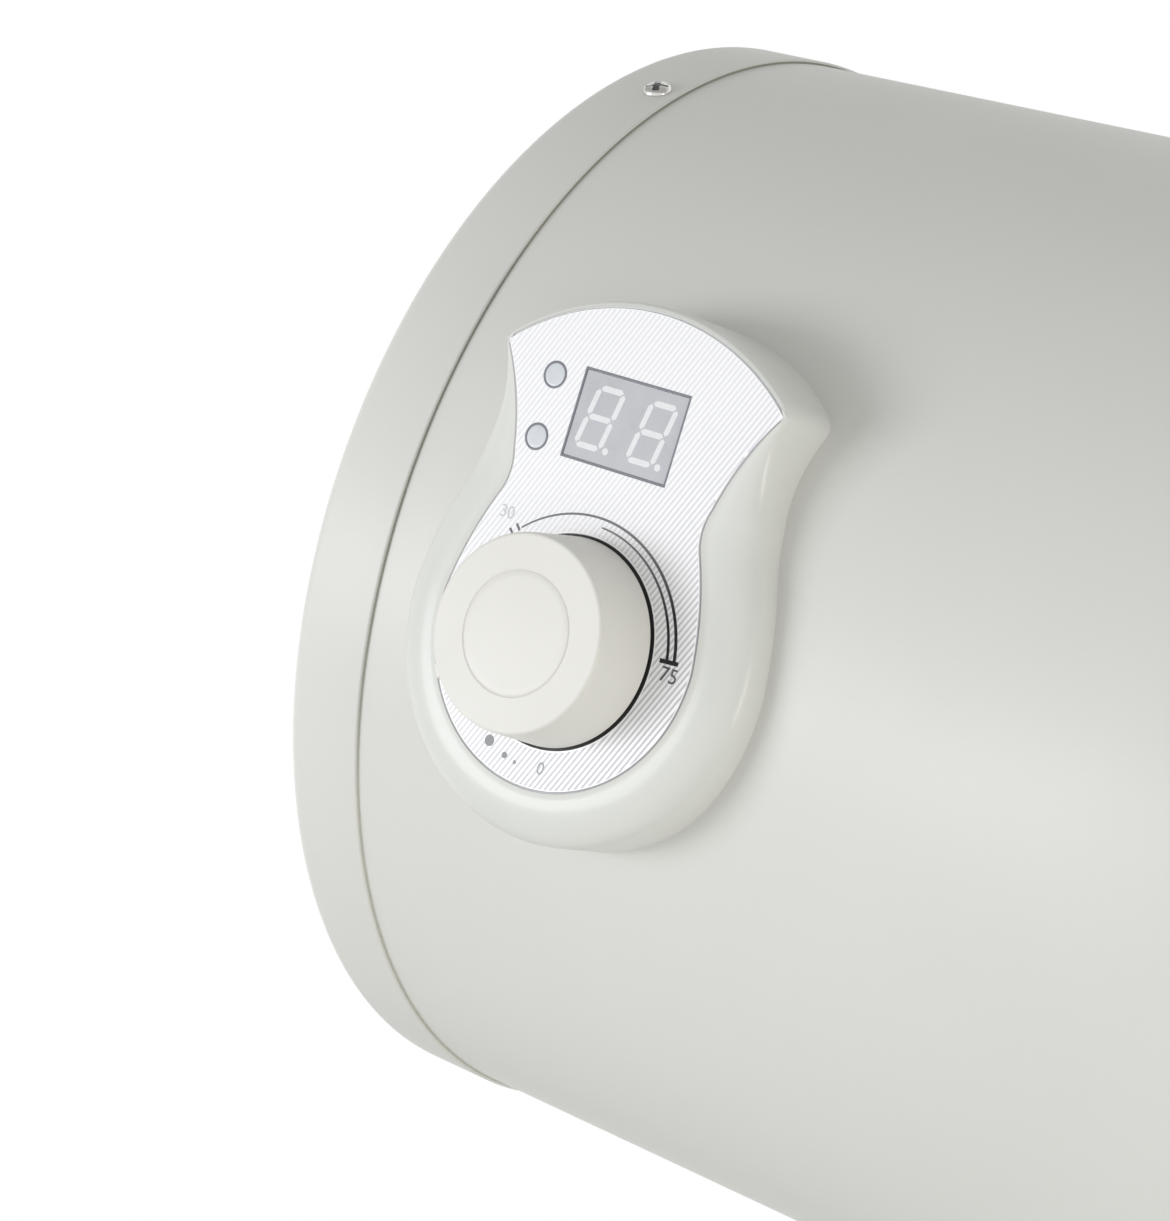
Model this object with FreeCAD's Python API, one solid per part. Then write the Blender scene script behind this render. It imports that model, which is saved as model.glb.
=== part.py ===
import FreeCAD, Part
import math
import os
from FreeCAD import Vector

# Wall-hung horizontal storage water heater with a control panel near the left end of its casing.
# Millimetres. +X runs along the casing, -Y points to the user, +Z is up.
# The origin lies on the wall, in the middle of the four bracket holes.

# Casing
casing_length = 560.0
shell_radius = 135.0
shell_sheet = 0.8
shell_seam_width = 12.0
shell_seam_height = 0.7
shell_seam_angle = 225.0
wall_gap = 14.0
cap_sheet = 0.9
cap_skirt = 20.6
cap_corner = 3.0
cap_emboss_radius = 104.0
cap_emboss_depth = 3.0
cap_emboss_slope = 6.0
cap_screw_inset = 14.7
cap_screw_angles = (54.2, 125.8, 270.0)
slip = 0.1

# Tank
bay_depth = 92.0
foam_thickness = 22.2
tank_wall = 2.0
tank_dome = 26.0
tank_skirt = 14.0
right_clearance = 30.0
foam_gap = 0.1
foam_left_setback = 2.0
foam_right_setback = 3.4

# Flange with what passes through it
neck_bore = 38.0
neck_wall = 4.0
neck_inside = 8.0
neck_outside = 10.0
flange_radius = 56.0
flange_thickness = 8.0
gasket_thickness = 3.0
plate_thickness = 4.0
flange_bolt_circle = 49.0
flange_bolt_count = 6
flange_bolt_radius = 3.0
flange_bolt_flats = 10.0
flange_bolt_head = 4.0
element_radius = 4.2
element_half_pitch = 14.0
element_drop = 20.0
element_reach = 140.0
element_stub = 8.0
insulator_radius = 5.4
insulator_length = 5.0
pin_radius = 2.0
pin_length = 19.0
pin_nut_flats = 7.0
pin_nut_height = 3.2
pocket_radius = 5.6
pocket_wall = 1.0
pocket_offset = 20.0
pocket_rise = 2.0
pocket_reach = 130.0
pocket_stub = 3.0
bulb_radius = 4.4
bulb_length = 90.0
capillary_radius = 1.0
anode_rise = 26.0
anode_radius = 9.0
anode_collar_radius = 6.3
anode_reach = 130.0
anode_stud_radius = 4.0
anode_stud_stub = 9.0
anode_stud_free = 6.0
anode_nut_flats = 12.0
anode_nut_height = 5.0

# Thermal cut-out on the right sensor pocket
cutout_depth = 20.0
cutout_width = 28.0
cutout_height = 34.0
cutout_inner_edge = 9.0
cutout_lower_edge = -10.0
cutout_collar_radius = 5.5
cutout_collar_height = 2.0
button_above_edge = 23.8
button_radius = 3.0
button_proud = 4.0
button_sunk = 5.0
button_travel = 2.0
button_head_radius = 4.0
button_head_height = 1.2

# Water pipes
pipe_pitch = 100.0
pipe_radius = 10.65
thread_radius = 10.48
thread_length = 20.0
pipe_bore = 7.5
pipe_below_shell = 32.0
inlet_rise = 30.0
outlet_headroom = 14.0
pipe_chamfer = 1.2
collar_radius = 17.0
collar_height = 5.0
collar_chamfer = 1.5

# Wall brackets
bracket_spacing = 260.0
bracket_hole_rise = 70.0
bracket_hole_radius = 5.5
bracket_width = 46.0
bracket_height = 170.0
bracket_sheet = 4.0
bracket_lip = 7.0
bracket_lip_sheet = 3.0
bracket_corner = 8.0
post_rise = 45.0
post_radius = 6.0
grommet_radius = 10.0
grommet_height = 3.0

# Power entry and terminal block in the bay under the left cap
gland_from_left = 45.0
gland_angle = 254.0
gland_bore = 3.9
gland_radius = 7.8
gland_outside = 12.0
gland_inside = 12.0
gland_flange_radius = 11.0
gland_flange_height = 4.0
gland_nut_flats = 22.0
gland_nut_height = 5.0
block_from_left = 36.0
block_length = 28.0
block_width = 24.0
block_height = 22.0
block_angle = 35.0
block_screw_radius = 2.0
block_screw_depth = 6.0
block_screw_pitch = 9.0
block_screw_offset = 7.0
block_slot_width = 0.7
block_slot_depth = 1.0

# Leads in the bay: x from the left rim, forward of the casing's axis, rise above the axis
lead_radius = 1.5
lead_bend = 0.45
lead_square = 15.0
link_square = 11.5
display_lead_square = 22.0
element_lead_seat = (-8.0, -8.0)
supply_lead_seat = (9.0, -7.0)
capillary_seat = (0.0, 2.0)
display_lead_seat = (-10.0, 25.1)
cutout_foot_side = 30.0
cutout_front_side = 31.0
cutout_front_rise = -2.0
block_taps = (5.0, 14.0, 23.0)
block_tap_rise = 21.0
element_lead_route = ((24.0, 48.0, -24.0), (46.0, 82.0, -20.0))
supply_lead_route = ((80.0, 84.0, -44.0), (64.0, 52.0, -78.0), (45.0, 10.0, -94.0), (33.0, -20.0, -88.0))
block_lead_route = ((54.0, -42.0, -52.0),)
link_lead_route = ((31.0, -21.0, -13.0), (33.0, -28.0, -5.0))
display_lead_route = ((56.0, 94.0, 14.0), (34.0, 78.0, -30.0), (20.0, 48.0, -76.0), (20.0, 4.0, -96.0),
                      (28.0, -34.0, -88.0))
capillary_route = ((56.0, 22.0, 3.0), (44.0, 40.0, 8.0), (54.0, 74.0, 6.0))

# Control panel: u to the right and v up from the knob's line, n out from the front of the shell
panel_from_left = 78.2
face_height = 10.3
face_sink = 0.4
face_sheet = 0.8
face_fit = 0.12
rim_width = 1.2
housing_wall = 2.2
housing_skirt = 24.0
top_wall = 2.2
face_top = 57.1
face_ear = (35.2, 43.8)
face_side = (29.2, 33.3)
face_waist_upper = (25.5, 22.2)
face_waist = (24.7, 17.0)
face_waist_lower = (26.1, 11.9)
face_flank = (29.8, 1.5)
face_belly = (32.1, -10.3)
face_bottom = -43.8
away_ear = (1.1, 0.45)
away_side = (0.92, -0.4)
away_waist_upper = (0.98, -0.2)
away_waist = (1.0, 0.0)
away_waist_lower = (0.95, 0.3)
away_flank = (0.97, 0.22)
away_belly = (1.0, 0.07)
border_top = 0.6
border_ear = (0.2, 0.4)
border_side = (4.4, 0.2)
border_waist_upper = (9.5, 0.0)
border_waist = (11.4, 0.0)
border_waist_lower = (11.5, 0.0)
border_flank = (11.0, 0.0)
border_belly = (10.4, 0.0)
border_bottom = 10.0
border_roll_height = 0.65
border_roll_flatness = 0.82
border_roll_angles = (0.0, 15.0, 30.0, 45.0, 60.0, 75.0, 90.0)

# Knob and thermostat
knob_v = -12.9
knob_base_radius = 21.9
knob_front_radius = 20.3
knob_height = 16.6
knob_edge = 1.6
knob_wall = 2.2
knob_cap_radius = 12.85
knob_cap_sheet = 1.2
knob_cap_fit = 0.15
knob_pointer_angle = 217.0
knob_pointer_width = 3.6
knob_pointer_proud = 1.3
knob_pointer_setback = 1.2
knob_hub_radius = 6.0
knob_gap = 0.3
well_radius = 22.5
well_depth = 0.9
shaft_radius = 3.0
shaft_flat = 1.0
shaft_above_bush = 11.0
shaft_inside_body = 12.0
running_gap = 0.05
end_gap = 0.3
bush_radius = 5.0
bush_above_floor = 4.0
bush_nut_flats = 14.0
bush_nut_height = 2.5
thermostat_width = 36.0
thermostat_tall = 30.0
thermostat_depth = 24.0

# Display, lamps and board
display_u = -0.35
display_v = 33.1
display_width = 26.4
display_tall = 18.4
display_sink = 0.15
display_fit = 0.15
display_depth = 7.9
digit_pitch = 13.4
digit_tall = 12.4
digit_wide = 6.2
digit_slant = 10.0
segment_width = 1.25
segment_gap = 0.25
segment_depth = 0.3
dot_radius = 0.75
dot_right = 1.6
lamp_u = -20.95
lamp_high_v = 39.2
lamp_low_v = 25.8
lamp_radius = 2.5
lamp_fit = 0.1
lamp_proud = 0.5
lamp_dome = 0.6
lamp_flange = 0.8
lamp_flange_height = 1.0
led_radius = 2.3
led_gap = 0.1
board_left = -25.5
board_right = 20.8
board_low = 22.1
board_high = 44.0
board_sheet = 1.6
post_board_radius = 2.2
board_post_left_u = -21.9
board_post_right_u = 17.4
board_post_v = 32.5
board_screw_radius = 1.2
board_screw_head = 2.0
board_screw_head_height = 1.3
board_screw_length = 4.0
boss_radius = 2.8
boss_ear_u = 28.8
boss_ear_v = 42.3
boss_low_v = -48.0
opening_half_width = 20.0
opening_low = -33.0
opening_high = 28.0
opening_corner = 6.0

# Self-tapping screws
tapper_radius = 2.0
tapper_length = 9.0
tapper_head_radius = 4.0
tapper_head_height = 2.4
tapper_head_round = 1.5
cross_length = 4.6
cross_width = 1.0
cross_depth = 1.3
boss_screw_radius = 1.45
boss_screw_head_radius = 2.8
boss_screw_head_height = 1.8
boss_screw_bite = 8.0

# Places worked out from the sizes above
left = -casing_length / 2
right = casing_length / 2
axis_y = -(wall_gap + shell_radius)
shell_inside = shell_radius - shell_sheet
tank_radius = shell_inside - foam_thickness
cap_inside = shell_radius + slip
cap_radius = cap_inside + cap_sheet
apex_left = left + bay_depth
tank_left = apex_left + tank_dome
tank_right = right - right_clearance - tank_dome
tank_middle = (tank_left + tank_right) / 2
dome_sphere = (tank_radius ** 2 + tank_dome ** 2) / (2 * tank_dome)
flange_face = apex_left - neck_outside
plate_right = flange_face - gasket_thickness
plate_left = plate_right - plate_thickness
pocket_mouth = plate_left - pocket_stub
stub_end = plate_left - element_stub
pin_end = stub_end - pin_length
knob_x = left + panel_from_left
face_front = face_height - face_sink
face_back = face_front - face_sheet
wall_back = face_back - top_wall
well_floor = face_back - well_depth
bush_end = well_floor + bush_above_floor
knob_base = face_front + knob_gap
knob_front = face_front + knob_height
shaft_end = bush_end + shaft_above_bush
shaft_foot = wall_back - shaft_inside_body
display_face = face_front - display_sink
board_front = display_face - display_depth
board_back = board_front - board_sheet
outlet_x = tank_middle - pipe_pitch / 2
inlet_x = tank_middle + pipe_pitch / 2
pipe_end = -(shell_radius + pipe_below_shell)
gland_x = left + gland_from_left
boss_places = ((-boss_ear_u, boss_ear_v), (boss_ear_u, boss_ear_v), (0.0, boss_low_v))
lamp_places = {"heat_lamp_lens": lamp_high_v, "power_lamp_lens": lamp_low_v}
board_post_places = (board_post_left_u, board_post_right_u)
side_signs = (-1, 1)

X = Vector(1, 0, 0)
Y = Vector(0, 1, 0)
Z = Vector(0, 0, 1)


# Basic forms
def rod(start, direction, length, radius):
    return Part.makeCylinder(radius, length, start, direction)


def axis_point(x, forward=0.0, rise=0.0):
    """A point at x, forward of the casing's axis and above it."""
    return Vector(x, axis_y - forward, rise)


def drum(x0, x1, radius):
    return rod(axis_point(x0), X, x1 - x0, radius)


def outward(angle):
    """The direction away from the casing's axis: 0 degrees is the front, 90 the top."""
    turn = math.radians(angle)
    return Vector(0, -math.cos(turn), math.sin(turn))


def block(low, high):
    size = high - low
    return Part.makeBox(size.x, size.y, size.z, low)


def turned(outline):
    """A ring of the outline's (x, radius) points about the casing's axis."""
    corners = [axis_point(x, 0.0, radius) for x, radius in outline]
    face = Part.Face(Part.makePolygon(corners + corners[:1]))
    return face.revolve(axis_point(0.0), X, 360)


def hexagon(start, direction, flats, height):
    corner = flats / math.sqrt(3)
    points = []
    for k in range(7):
        turn = math.radians(60 * k)
        points.append(Vector(corner * math.cos(turn), corner * math.sin(turn), 0))
    prism = Part.Face(Part.makePolygon(points)).extrude(Vector(0, 0, height))
    prism.Placement = FreeCAD.Placement(start, FreeCAD.Rotation(Z, direction))
    return prism


def compound(solids):
    return Part.makeCompound(solids)


def panel_point(u, v, n):
    return Vector(knob_x + u, axis_y - shell_radius - n, v)


def panel_rod(u, v, n0, n1, radius):
    return rod(panel_point(u, v, n0), -Y, n1 - n0, radius)


def panel_block(u0, u1, v0, v1, n0, n1):
    return block(panel_point(u0, v0, n1), panel_point(u1, v1, n0))


def lead(points, radius):
    """A round lead along straight runs, joined by arcs as large as the runs allow."""
    edges = []
    start = points[0]
    for before, corner, after in zip(points, points[1:], points[2:]):
        incoming = (corner - before).normalize()
        outgoing = (after - corner).normalize()
        half_turn = incoming.getAngle(outgoing) / 2
        reach = lead_bend * min((corner - before).Length, (after - corner).Length)
        arc_start = corner - incoming * reach
        arc_end = corner + outgoing * reach
        inner = (outgoing - incoming).normalize()
        arc_radius = reach / math.tan(half_turn)
        arc_middle = corner + inner * (arc_radius / math.cos(half_turn) - arc_radius)
        edges.append(Part.LineSegment(start, arc_start).toShape())
        edges.append(Part.Arc(arc_start, arc_middle, arc_end).toShape())
        start = arc_end
    edges.append(Part.LineSegment(start, points[-1]).toShape())
    ring = Part.Circle(points[0], points[1] - points[0], radius).toShape()
    tube = Part.Wire(edges).makePipeShell([Part.Wire([ring])], True, False)
    return tube


# Casing
def panel_opening():
    """The hole in the shell behind the control panel, with rounded corners."""
    hole = panel_block(-opening_half_width, opening_half_width, opening_low, opening_high,
                       -shell_radius / 2, face_height)
    corners = [edge for edge in hole.Edges if abs(edge.Length - shell_radius / 2 - face_height) < slip]
    return hole.makeFillet(opening_corner, corners)


def cap_screw_start(x, angle):
    return axis_point(x) + outward(angle) * (cap_radius + tapper_head_height)


def cap_screw_holes(x):
    reach = tapper_length + tapper_head_height
    return [rod(cap_screw_start(x, angle), -outward(angle), reach, tapper_radius + slip)
            for angle in cap_screw_angles]


def outer_shell():
    x0 = left + cap_sheet + cap_emboss_depth
    x1 = right - cap_sheet - cap_emboss_depth
    shell = drum(x0, x1, shell_radius).cut(drum(x0, x1, shell_inside))
    seam = drum(left + cap_skirt + slip, right - cap_skirt - slip, shell_radius + shell_seam_height)
    strip_direction = outward(shell_seam_angle)
    strip = Part.makeBox(casing_length, shell_seam_width, shell_radius)
    strip.translate(Vector(-casing_length / 2, -shell_seam_width / 2, shell_radius / 2))
    strip.rotate(Vector(), X, math.degrees(math.atan2(-strip_direction.y, strip_direction.z)))
    strip.translate(axis_point(0.0))
    seam = seam.cut(drum(left, right, shell_radius - shell_sheet / 2)).common(strip)
    shell = shell.fuse(seam)
    holes = [panel_opening()]
    for u, v in boss_places:
        holes.append(panel_rod(u, v, -shell_radius / 2, face_height, boss_screw_radius + slip))
    for x in (inlet_x, outlet_x):
        holes.append(rod(axis_point(x, 0.0, pipe_end), Z, shell_radius, pipe_radius + slip))
    for x, rise in post_places():
        holes.append(rod(axis_point(x, 0.0, rise), Y, 2 * shell_radius, post_radius + slip))
    holes.append(rod(axis_point(gland_x), outward(gland_angle), 2 * shell_radius, gland_radius + slip))
    holes += cap_screw_holes(left + cap_screw_inset)
    holes += cap_screw_holes(right - cap_screw_inset)
    return shell.cut(holes).removeSplitter()


def end_cap(rim, inward):
    """A pressed cap whose skirt laps the shell; inward is +1 at the left end and -1 at the right."""
    step = cap_emboss_depth * inward
    sheet = cap_sheet * inward
    skirt = rim + cap_skirt * inward
    outline = [(rim + step, 0.0), (rim + step, cap_emboss_radius),
               (rim, cap_emboss_radius + cap_emboss_slope), (rim, cap_radius), (skirt, cap_radius),
               (skirt, cap_inside), (rim + sheet, cap_inside),
               (rim + sheet, cap_emboss_radius + cap_emboss_slope),
               (rim + step + sheet, cap_emboss_radius), (rim + step + sheet, 0.0)]
    cap = turned(outline)
    rim_edges = [edge for edge in cap.Edges if on_ring(edge, rim, cap_radius)]
    cap = cap.makeFillet(cap_corner, rim_edges)
    inner_edges = [edge for edge in cap.Edges if on_ring(edge, rim + sheet, cap_inside)]
    cap = cap.makeFillet(cap_corner - cap_sheet, inner_edges)
    return cap.cut(cap_screw_holes(rim + cap_screw_inset * inward))


def on_ring(edge, x, radius):
    """Whether an edge is the circle of that radius about the casing's axis at x."""
    point = edge.Vertexes[0].Point
    away = math.hypot(point.y - axis_y, point.z)
    box = edge.BoundBox
    return box.XLength < 1e-4 and abs(point.x - x) < 1e-4 and abs(away - radius) < 1e-4


def tapping_screw(start, direction, shank, length, head_radius, head_height, head_round):
    """A pan-head screw with a cross recess; start is the top of its head."""
    head = Part.makeCylinder(head_radius, head_height)
    top_edges = [edge for edge in head.Edges if edge.BoundBox.ZMax < 1e-6]
    head = head.makeFillet(head_round, top_edges)
    body = head.fuse(Part.makeCylinder(shank, head_height + length))
    half = cross_length / 2 * head_radius / tapper_head_radius
    slot = Part.makeBox(2 * half, cross_width, cross_depth, Vector(-half, -cross_width / 2, 0))
    other = Part.makeBox(cross_width, 2 * half, cross_depth, Vector(-cross_width / 2, -half, 0))
    screw = body.cut([slot, other])
    screw.Placement = FreeCAD.Placement(start, FreeCAD.Rotation(Z, direction))
    return screw


def cap_screws(x):
    seat = drum(left - cap_skirt, right + cap_skirt, cap_radius)
    screws = []
    for angle in cap_screw_angles:
        start = cap_screw_start(x, angle)
        screw = tapping_screw(start, -outward(angle), tapper_radius, tapper_length,
                              tapper_head_radius, tapper_head_height, tapper_head_round)
        shank = rod(start, -outward(angle), tapper_head_height + tapper_length, tapper_radius)
        screws.append(screw.cut(seat.cut(shank)))
    return compound(screws)


# Tank and foam
def tank_form(grow):
    """The tank's outer form with both domes, grown outwards by a distance."""
    radius = tank_radius + grow
    reach = dome_sphere + grow
    lean = math.asin(radius / reach)
    left_centre = apex_left + dome_sphere
    right_centre = tank_right + tank_dome - dome_sphere

    def dome_point(centre, way, turn):
        return axis_point(centre + way * reach * math.cos(turn), 0.0, reach * math.sin(turn))

    left_edge = [dome_point(left_centre, -1, turn) for turn in (0.0, lean / 2, lean)]
    right_edge = [dome_point(right_centre, 1, turn) for turn in (lean, lean / 2, 0.0)]
    outline = [Part.Arc(*left_edge).toShape(), Part.makeLine(left_edge[2], right_edge[0]),
               Part.Arc(*right_edge).toShape(), Part.makeLine(right_edge[2], left_edge[0])]
    return Part.Face(Part.Wire(outline)).revolve(axis_point(0.0), X, 360)


def tank_skin():
    return tank_form(0.0).cut(tank_form(-tank_wall))


def pipe_holes(grow):
    return [rod(axis_point(x, 0.0, pipe_end), Z, shell_radius, pipe_radius + grow)
            for x in (inlet_x, outlet_x)]


def post_places():
    return [(side * bracket_spacing / 2, rise * post_rise) for side in side_signs for rise in side_signs]


def tank_barrel():
    slice_form = drum(tank_left + tank_skirt, tank_right - tank_skirt, shell_radius)
    return tank_skin().common(slice_form).cut(pipe_holes(running_gap))


def tank_left_head():
    slice_form = drum(left, tank_left + tank_skirt, shell_radius)
    neck_hole = drum(left, tank_left, neck_bore + neck_wall + running_gap)
    return tank_skin().common(slice_form).cut(neck_hole)


def tank_right_head():
    return tank_skin().common(drum(tank_right - tank_skirt, right, shell_radius))


def foam_jacket():
    x0 = tank_left - foam_left_setback
    x1 = right - cap_skirt - foam_right_setback
    foam = drum(x0, x1, shell_inside - foam_gap)
    cuts = [tank_form(foam_gap)] + pipe_holes(foam_gap)
    for x, rise in post_places():
        cuts.append(rod(axis_point(x, 0.0, rise), Y, shell_radius, post_radius + foam_gap))
    return foam.cut(cuts)


# Flange and immersed pieces
def flange_point(side, rise, x):
    return axis_point(x, -side, rise)


def bolt_places():
    places = []
    for k in range(flange_bolt_count):
        turn = math.radians(360.0 * (k + 0.5) / flange_bolt_count)
        places.append((flange_bolt_circle * math.cos(turn), flange_bolt_circle * math.sin(turn)))
    return places


def element_places():
    return [(side * element_half_pitch, -element_drop) for side in side_signs]


def pocket_places():
    return [(side * pocket_offset, pocket_rise) for side in side_signs]


def flange_neck():
    tube_radius = neck_bore + neck_wall
    outline = [(flange_face, neck_bore), (flange_face, flange_radius),
               (flange_face + flange_thickness, flange_radius), (flange_face + flange_thickness, tube_radius),
               (apex_left + neck_inside, tube_radius), (apex_left + neck_inside, neck_bore)]
    holes = [rod(flange_point(side, rise, flange_face), X, flange_thickness, flange_bolt_radius + running_gap)
             for side, rise in bolt_places()]
    return turned(outline).cut(holes)


def flange_gasket():
    edge = flange_bolt_circle - flange_bolt_radius - running_gap
    return drum(plate_right, flange_face, edge).cut(drum(plate_right, flange_face, neck_bore))


def flange_plate():
    plate = drum(plate_left, plate_right, flange_radius)
    sizes = [(place, flange_bolt_radius + running_gap) for place in bolt_places()]
    sizes += [(place, element_radius + running_gap) for place in element_places()]
    sizes += [(place, pocket_radius + running_gap) for place in pocket_places()]
    sizes.append(((0.0, anode_rise), anode_stud_radius + running_gap))
    holes = [rod(flange_point(side, rise, plate_left), X, plate_thickness, radius)
             for (side, rise), radius in sizes]
    return plate.cut(holes)


def flange_bolts():
    bolts = []
    length = plate_thickness + gasket_thickness + flange_thickness
    for side, rise in bolt_places():
        seat = flange_point(side, rise, plate_left)
        head = hexagon(seat, -X, flange_bolt_flats, flange_bolt_head)
        bolts.append(head.fuse(rod(seat, X, length, flange_bolt_radius)).removeSplitter())
    return compound(bolts)


def heating_element():
    """A hairpin: two straight legs joined by a half ring."""
    bend = plate_right + element_reach
    legs = [rod(flange_point(side, rise, stub_end), X, bend - stub_end, element_radius)
            for side, rise in element_places()]
    ring = Part.makeTorus(element_half_pitch, element_radius, flange_point(0.0, -element_drop, bend), Z)
    reach = element_half_pitch + 2 * element_radius
    half = block(flange_point(-reach, -element_drop - reach, bend),
                 flange_point(reach, -element_drop + reach, bend + reach))
    return legs[0].fuse([legs[1], ring.common(half)]).removeSplitter()


def element_insulators():
    rings = []
    for side, rise in element_places():
        start = flange_point(side, rise, stub_end)
        ring = rod(start, -X, insulator_length, insulator_radius)
        rings.append(ring.cut(rod(start, -X, insulator_length, pin_radius + running_gap)))
    return compound(rings)


def element_pins():
    return compound([rod(flange_point(side, rise, stub_end), -X, pin_length, pin_radius)
                     for side, rise in element_places()])


def element_nuts():
    nuts = []
    for side, rise in element_places():
        start = flange_point(side, rise, stub_end - insulator_length)
        nut = hexagon(start, -X, pin_nut_flats, pin_nut_height)
        nuts.append(nut.cut(rod(start, -X, pin_nut_height, pin_radius + running_gap)))
    return compound(nuts)


def sensor_pockets():
    pockets = []
    length = pocket_stub + plate_thickness + pocket_reach
    for side, rise in pocket_places():
        start = flange_point(side, rise, pocket_mouth)
        bore = rod(start, X, length - pocket_wall, pocket_radius - pocket_wall)
        pockets.append(rod(start, X, length, pocket_radius).cut(bore))
    return compound(pockets)


def anode_rod():
    start = flange_point(0.0, anode_rise, plate_left - anode_stud_stub)
    stud_length = anode_stud_stub + plate_thickness + anode_stud_free
    stud = rod(start, X, stud_length, anode_stud_radius)
    collar = rod(flange_point(0.0, anode_rise, plate_right), X, anode_stud_free, anode_collar_radius)
    body = rod(flange_point(0.0, anode_rise, plate_right + anode_stud_free), X, anode_reach, anode_radius)
    return stud.fuse([collar, body]).removeSplitter()


def anode_nut():
    start = flange_point(0.0, anode_rise, plate_left)
    nut = hexagon(start, -X, anode_nut_flats, anode_nut_height)
    return nut.cut(rod(start, -X, anode_nut_height, anode_stud_radius + running_gap))


# Thermal cut-out
def cutout_face():
    return pocket_mouth - cutout_depth


def button_place():
    return cutout_inner_edge + cutout_width / 2, cutout_lower_edge + button_above_edge


def thermal_cutout():
    face = cutout_face()
    low = axis_point(face, -cutout_inner_edge, cutout_lower_edge)
    body = Part.makeBox(cutout_depth, cutout_width, cutout_height, low)
    stem_radius = pocket_radius - pocket_wall - slip
    stem = rod(flange_point(pocket_offset, pocket_rise, pocket_mouth), X, bulb_length, stem_radius)
    side, rise = button_place()
    collar = rod(flange_point(side, rise, face), -X, cutout_collar_height, cutout_collar_radius)
    well_length = cutout_collar_height + button_sunk + button_travel + end_gap
    mouth = flange_point(side, rise, face - cutout_collar_height)
    well = rod(mouth, X, well_length, button_radius + running_gap)
    return body.fuse([stem, collar]).cut(well).removeSplitter()


def cutout_reset_button():
    side, rise = button_place()
    tip = cutout_face() - cutout_collar_height - button_proud
    length = button_proud + cutout_collar_height + button_sunk
    stem = rod(flange_point(side, rise, tip), X, length, button_radius)
    head = rod(flange_point(side, rise, tip), X, button_head_height, button_head_radius)
    return stem.fuse(head).removeSplitter()


# Water pipes
def water_pipe(x, top):
    """An upright pipe whose lower end is turned down for its thread."""
    length = top - pipe_end
    thread = Part.makeCylinder(thread_radius, thread_length)
    mouth = [edge for edge in thread.Edges if edge.BoundBox.ZMax < 1e-6]
    thread = thread.makeChamfer(pipe_chamfer, mouth)
    plain = Part.makeCylinder(pipe_radius, length - thread_length, Vector(0, 0, thread_length))
    pipe = thread.fuse(plain).cut(Part.makeCylinder(pipe_bore, length))
    pipe.translate(axis_point(x, 0.0, pipe_end))
    return pipe


def cold_inlet_pipe():
    return water_pipe(inlet_x, -(tank_radius - tank_wall) + inlet_rise)


def hot_outlet_pipe():
    return water_pipe(outlet_x, tank_radius - tank_wall - outlet_headroom)


def pipe_collar(x):
    """A coloured ring round a pipe, shaped to the underside of the shell."""
    rest = math.sqrt(shell_radius ** 2 - collar_radius ** 2)
    height = shell_radius + collar_height - rest
    ring = Part.makeCylinder(collar_radius, height)
    lower = [edge for edge in ring.Edges if edge.BoundBox.ZMax < 1e-6]
    ring = ring.makeChamfer(collar_chamfer, lower).cut(Part.makeCylinder(pipe_radius + slip, height))
    ring.translate(axis_point(x, 0.0, -(shell_radius + collar_height)))
    return ring.cut(drum(left, right, shell_radius))


# Wall brackets
def wall_bracket(side):
    x = side * bracket_spacing / 2
    half = bracket_width / 2
    plate = block(Vector(x - half, -bracket_sheet, -bracket_height / 2),
                  Vector(x + half, 0, bracket_height / 2))
    corners = [edge for edge in plate.Edges if abs(edge.BoundBox.YLength - bracket_sheet) < 1e-6]
    plate = plate.makeFillet(bracket_corner, corners)
    lip_half = bracket_height / 2 - bracket_corner
    lips = []
    for edge in side_signs:
        outer = x + edge * half
        inner = outer - edge * bracket_lip_sheet
        lips.append(block(Vector(min(outer, inner), -bracket_sheet - bracket_lip, -lip_half),
                          Vector(max(outer, inner), -bracket_sheet, lip_half)))
    holes = [rod(Vector(x, -bracket_sheet, rise * bracket_hole_rise), Y, bracket_sheet, bracket_hole_radius)
             for rise in side_signs]
    return plate.fuse(lips).cut(holes).removeSplitter()


def bracket_posts():
    """Welded posts from the tank's back to the wall brackets."""
    tank = drum(left, right, tank_radius)
    length = -axis_y - bracket_sheet
    return compound([rod(axis_point(x, 0.0, rise), Y, length, post_radius).cut(tank)
                     for x, rise in post_places()])


def post_grommets():
    shell = drum(left, right, shell_radius)
    grommets = []
    for x, rise in post_places():
        start = axis_point(x, 0.0, rise)
        seat = math.sqrt(shell_radius ** 2 - (post_rise - grommet_radius) ** 2)
        ring = rod(start, Y, seat + grommet_height, grommet_radius)
        bore = rod(start, Y, seat + grommet_height, post_radius + slip)
        grommets.append(ring.cut([bore, shell]))
    return compound(grommets)


# Power entry and terminal block
def gland_point(radius):
    return axis_point(gland_x) + outward(gland_angle) * radius


def cord_gland():
    inward = -outward(gland_angle)
    start = gland_point(shell_radius + gland_outside)
    length = gland_outside + shell_sheet + gland_inside
    flange_rest = math.sqrt(shell_radius ** 2 - gland_flange_radius ** 2)
    flange_length = shell_radius + gland_flange_height - flange_rest
    flange = rod(gland_point(shell_radius + gland_flange_height), inward, flange_length, gland_flange_radius)
    flange = flange.cut(drum(left, right, shell_radius))
    body = rod(start, inward, length, gland_radius).fuse(flange)
    return body.cut(rod(start, inward, length, gland_bore)).removeSplitter()


def gland_nut():
    inward = -outward(gland_angle)
    corner = gland_nut_flats / math.sqrt(3)
    start = gland_point(math.sqrt(shell_inside ** 2 - corner ** 2))
    nut = hexagon(start, inward, gland_nut_flats, gland_nut_height)
    return nut.cut(rod(start, inward, gland_nut_height, gland_radius + slip))


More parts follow.
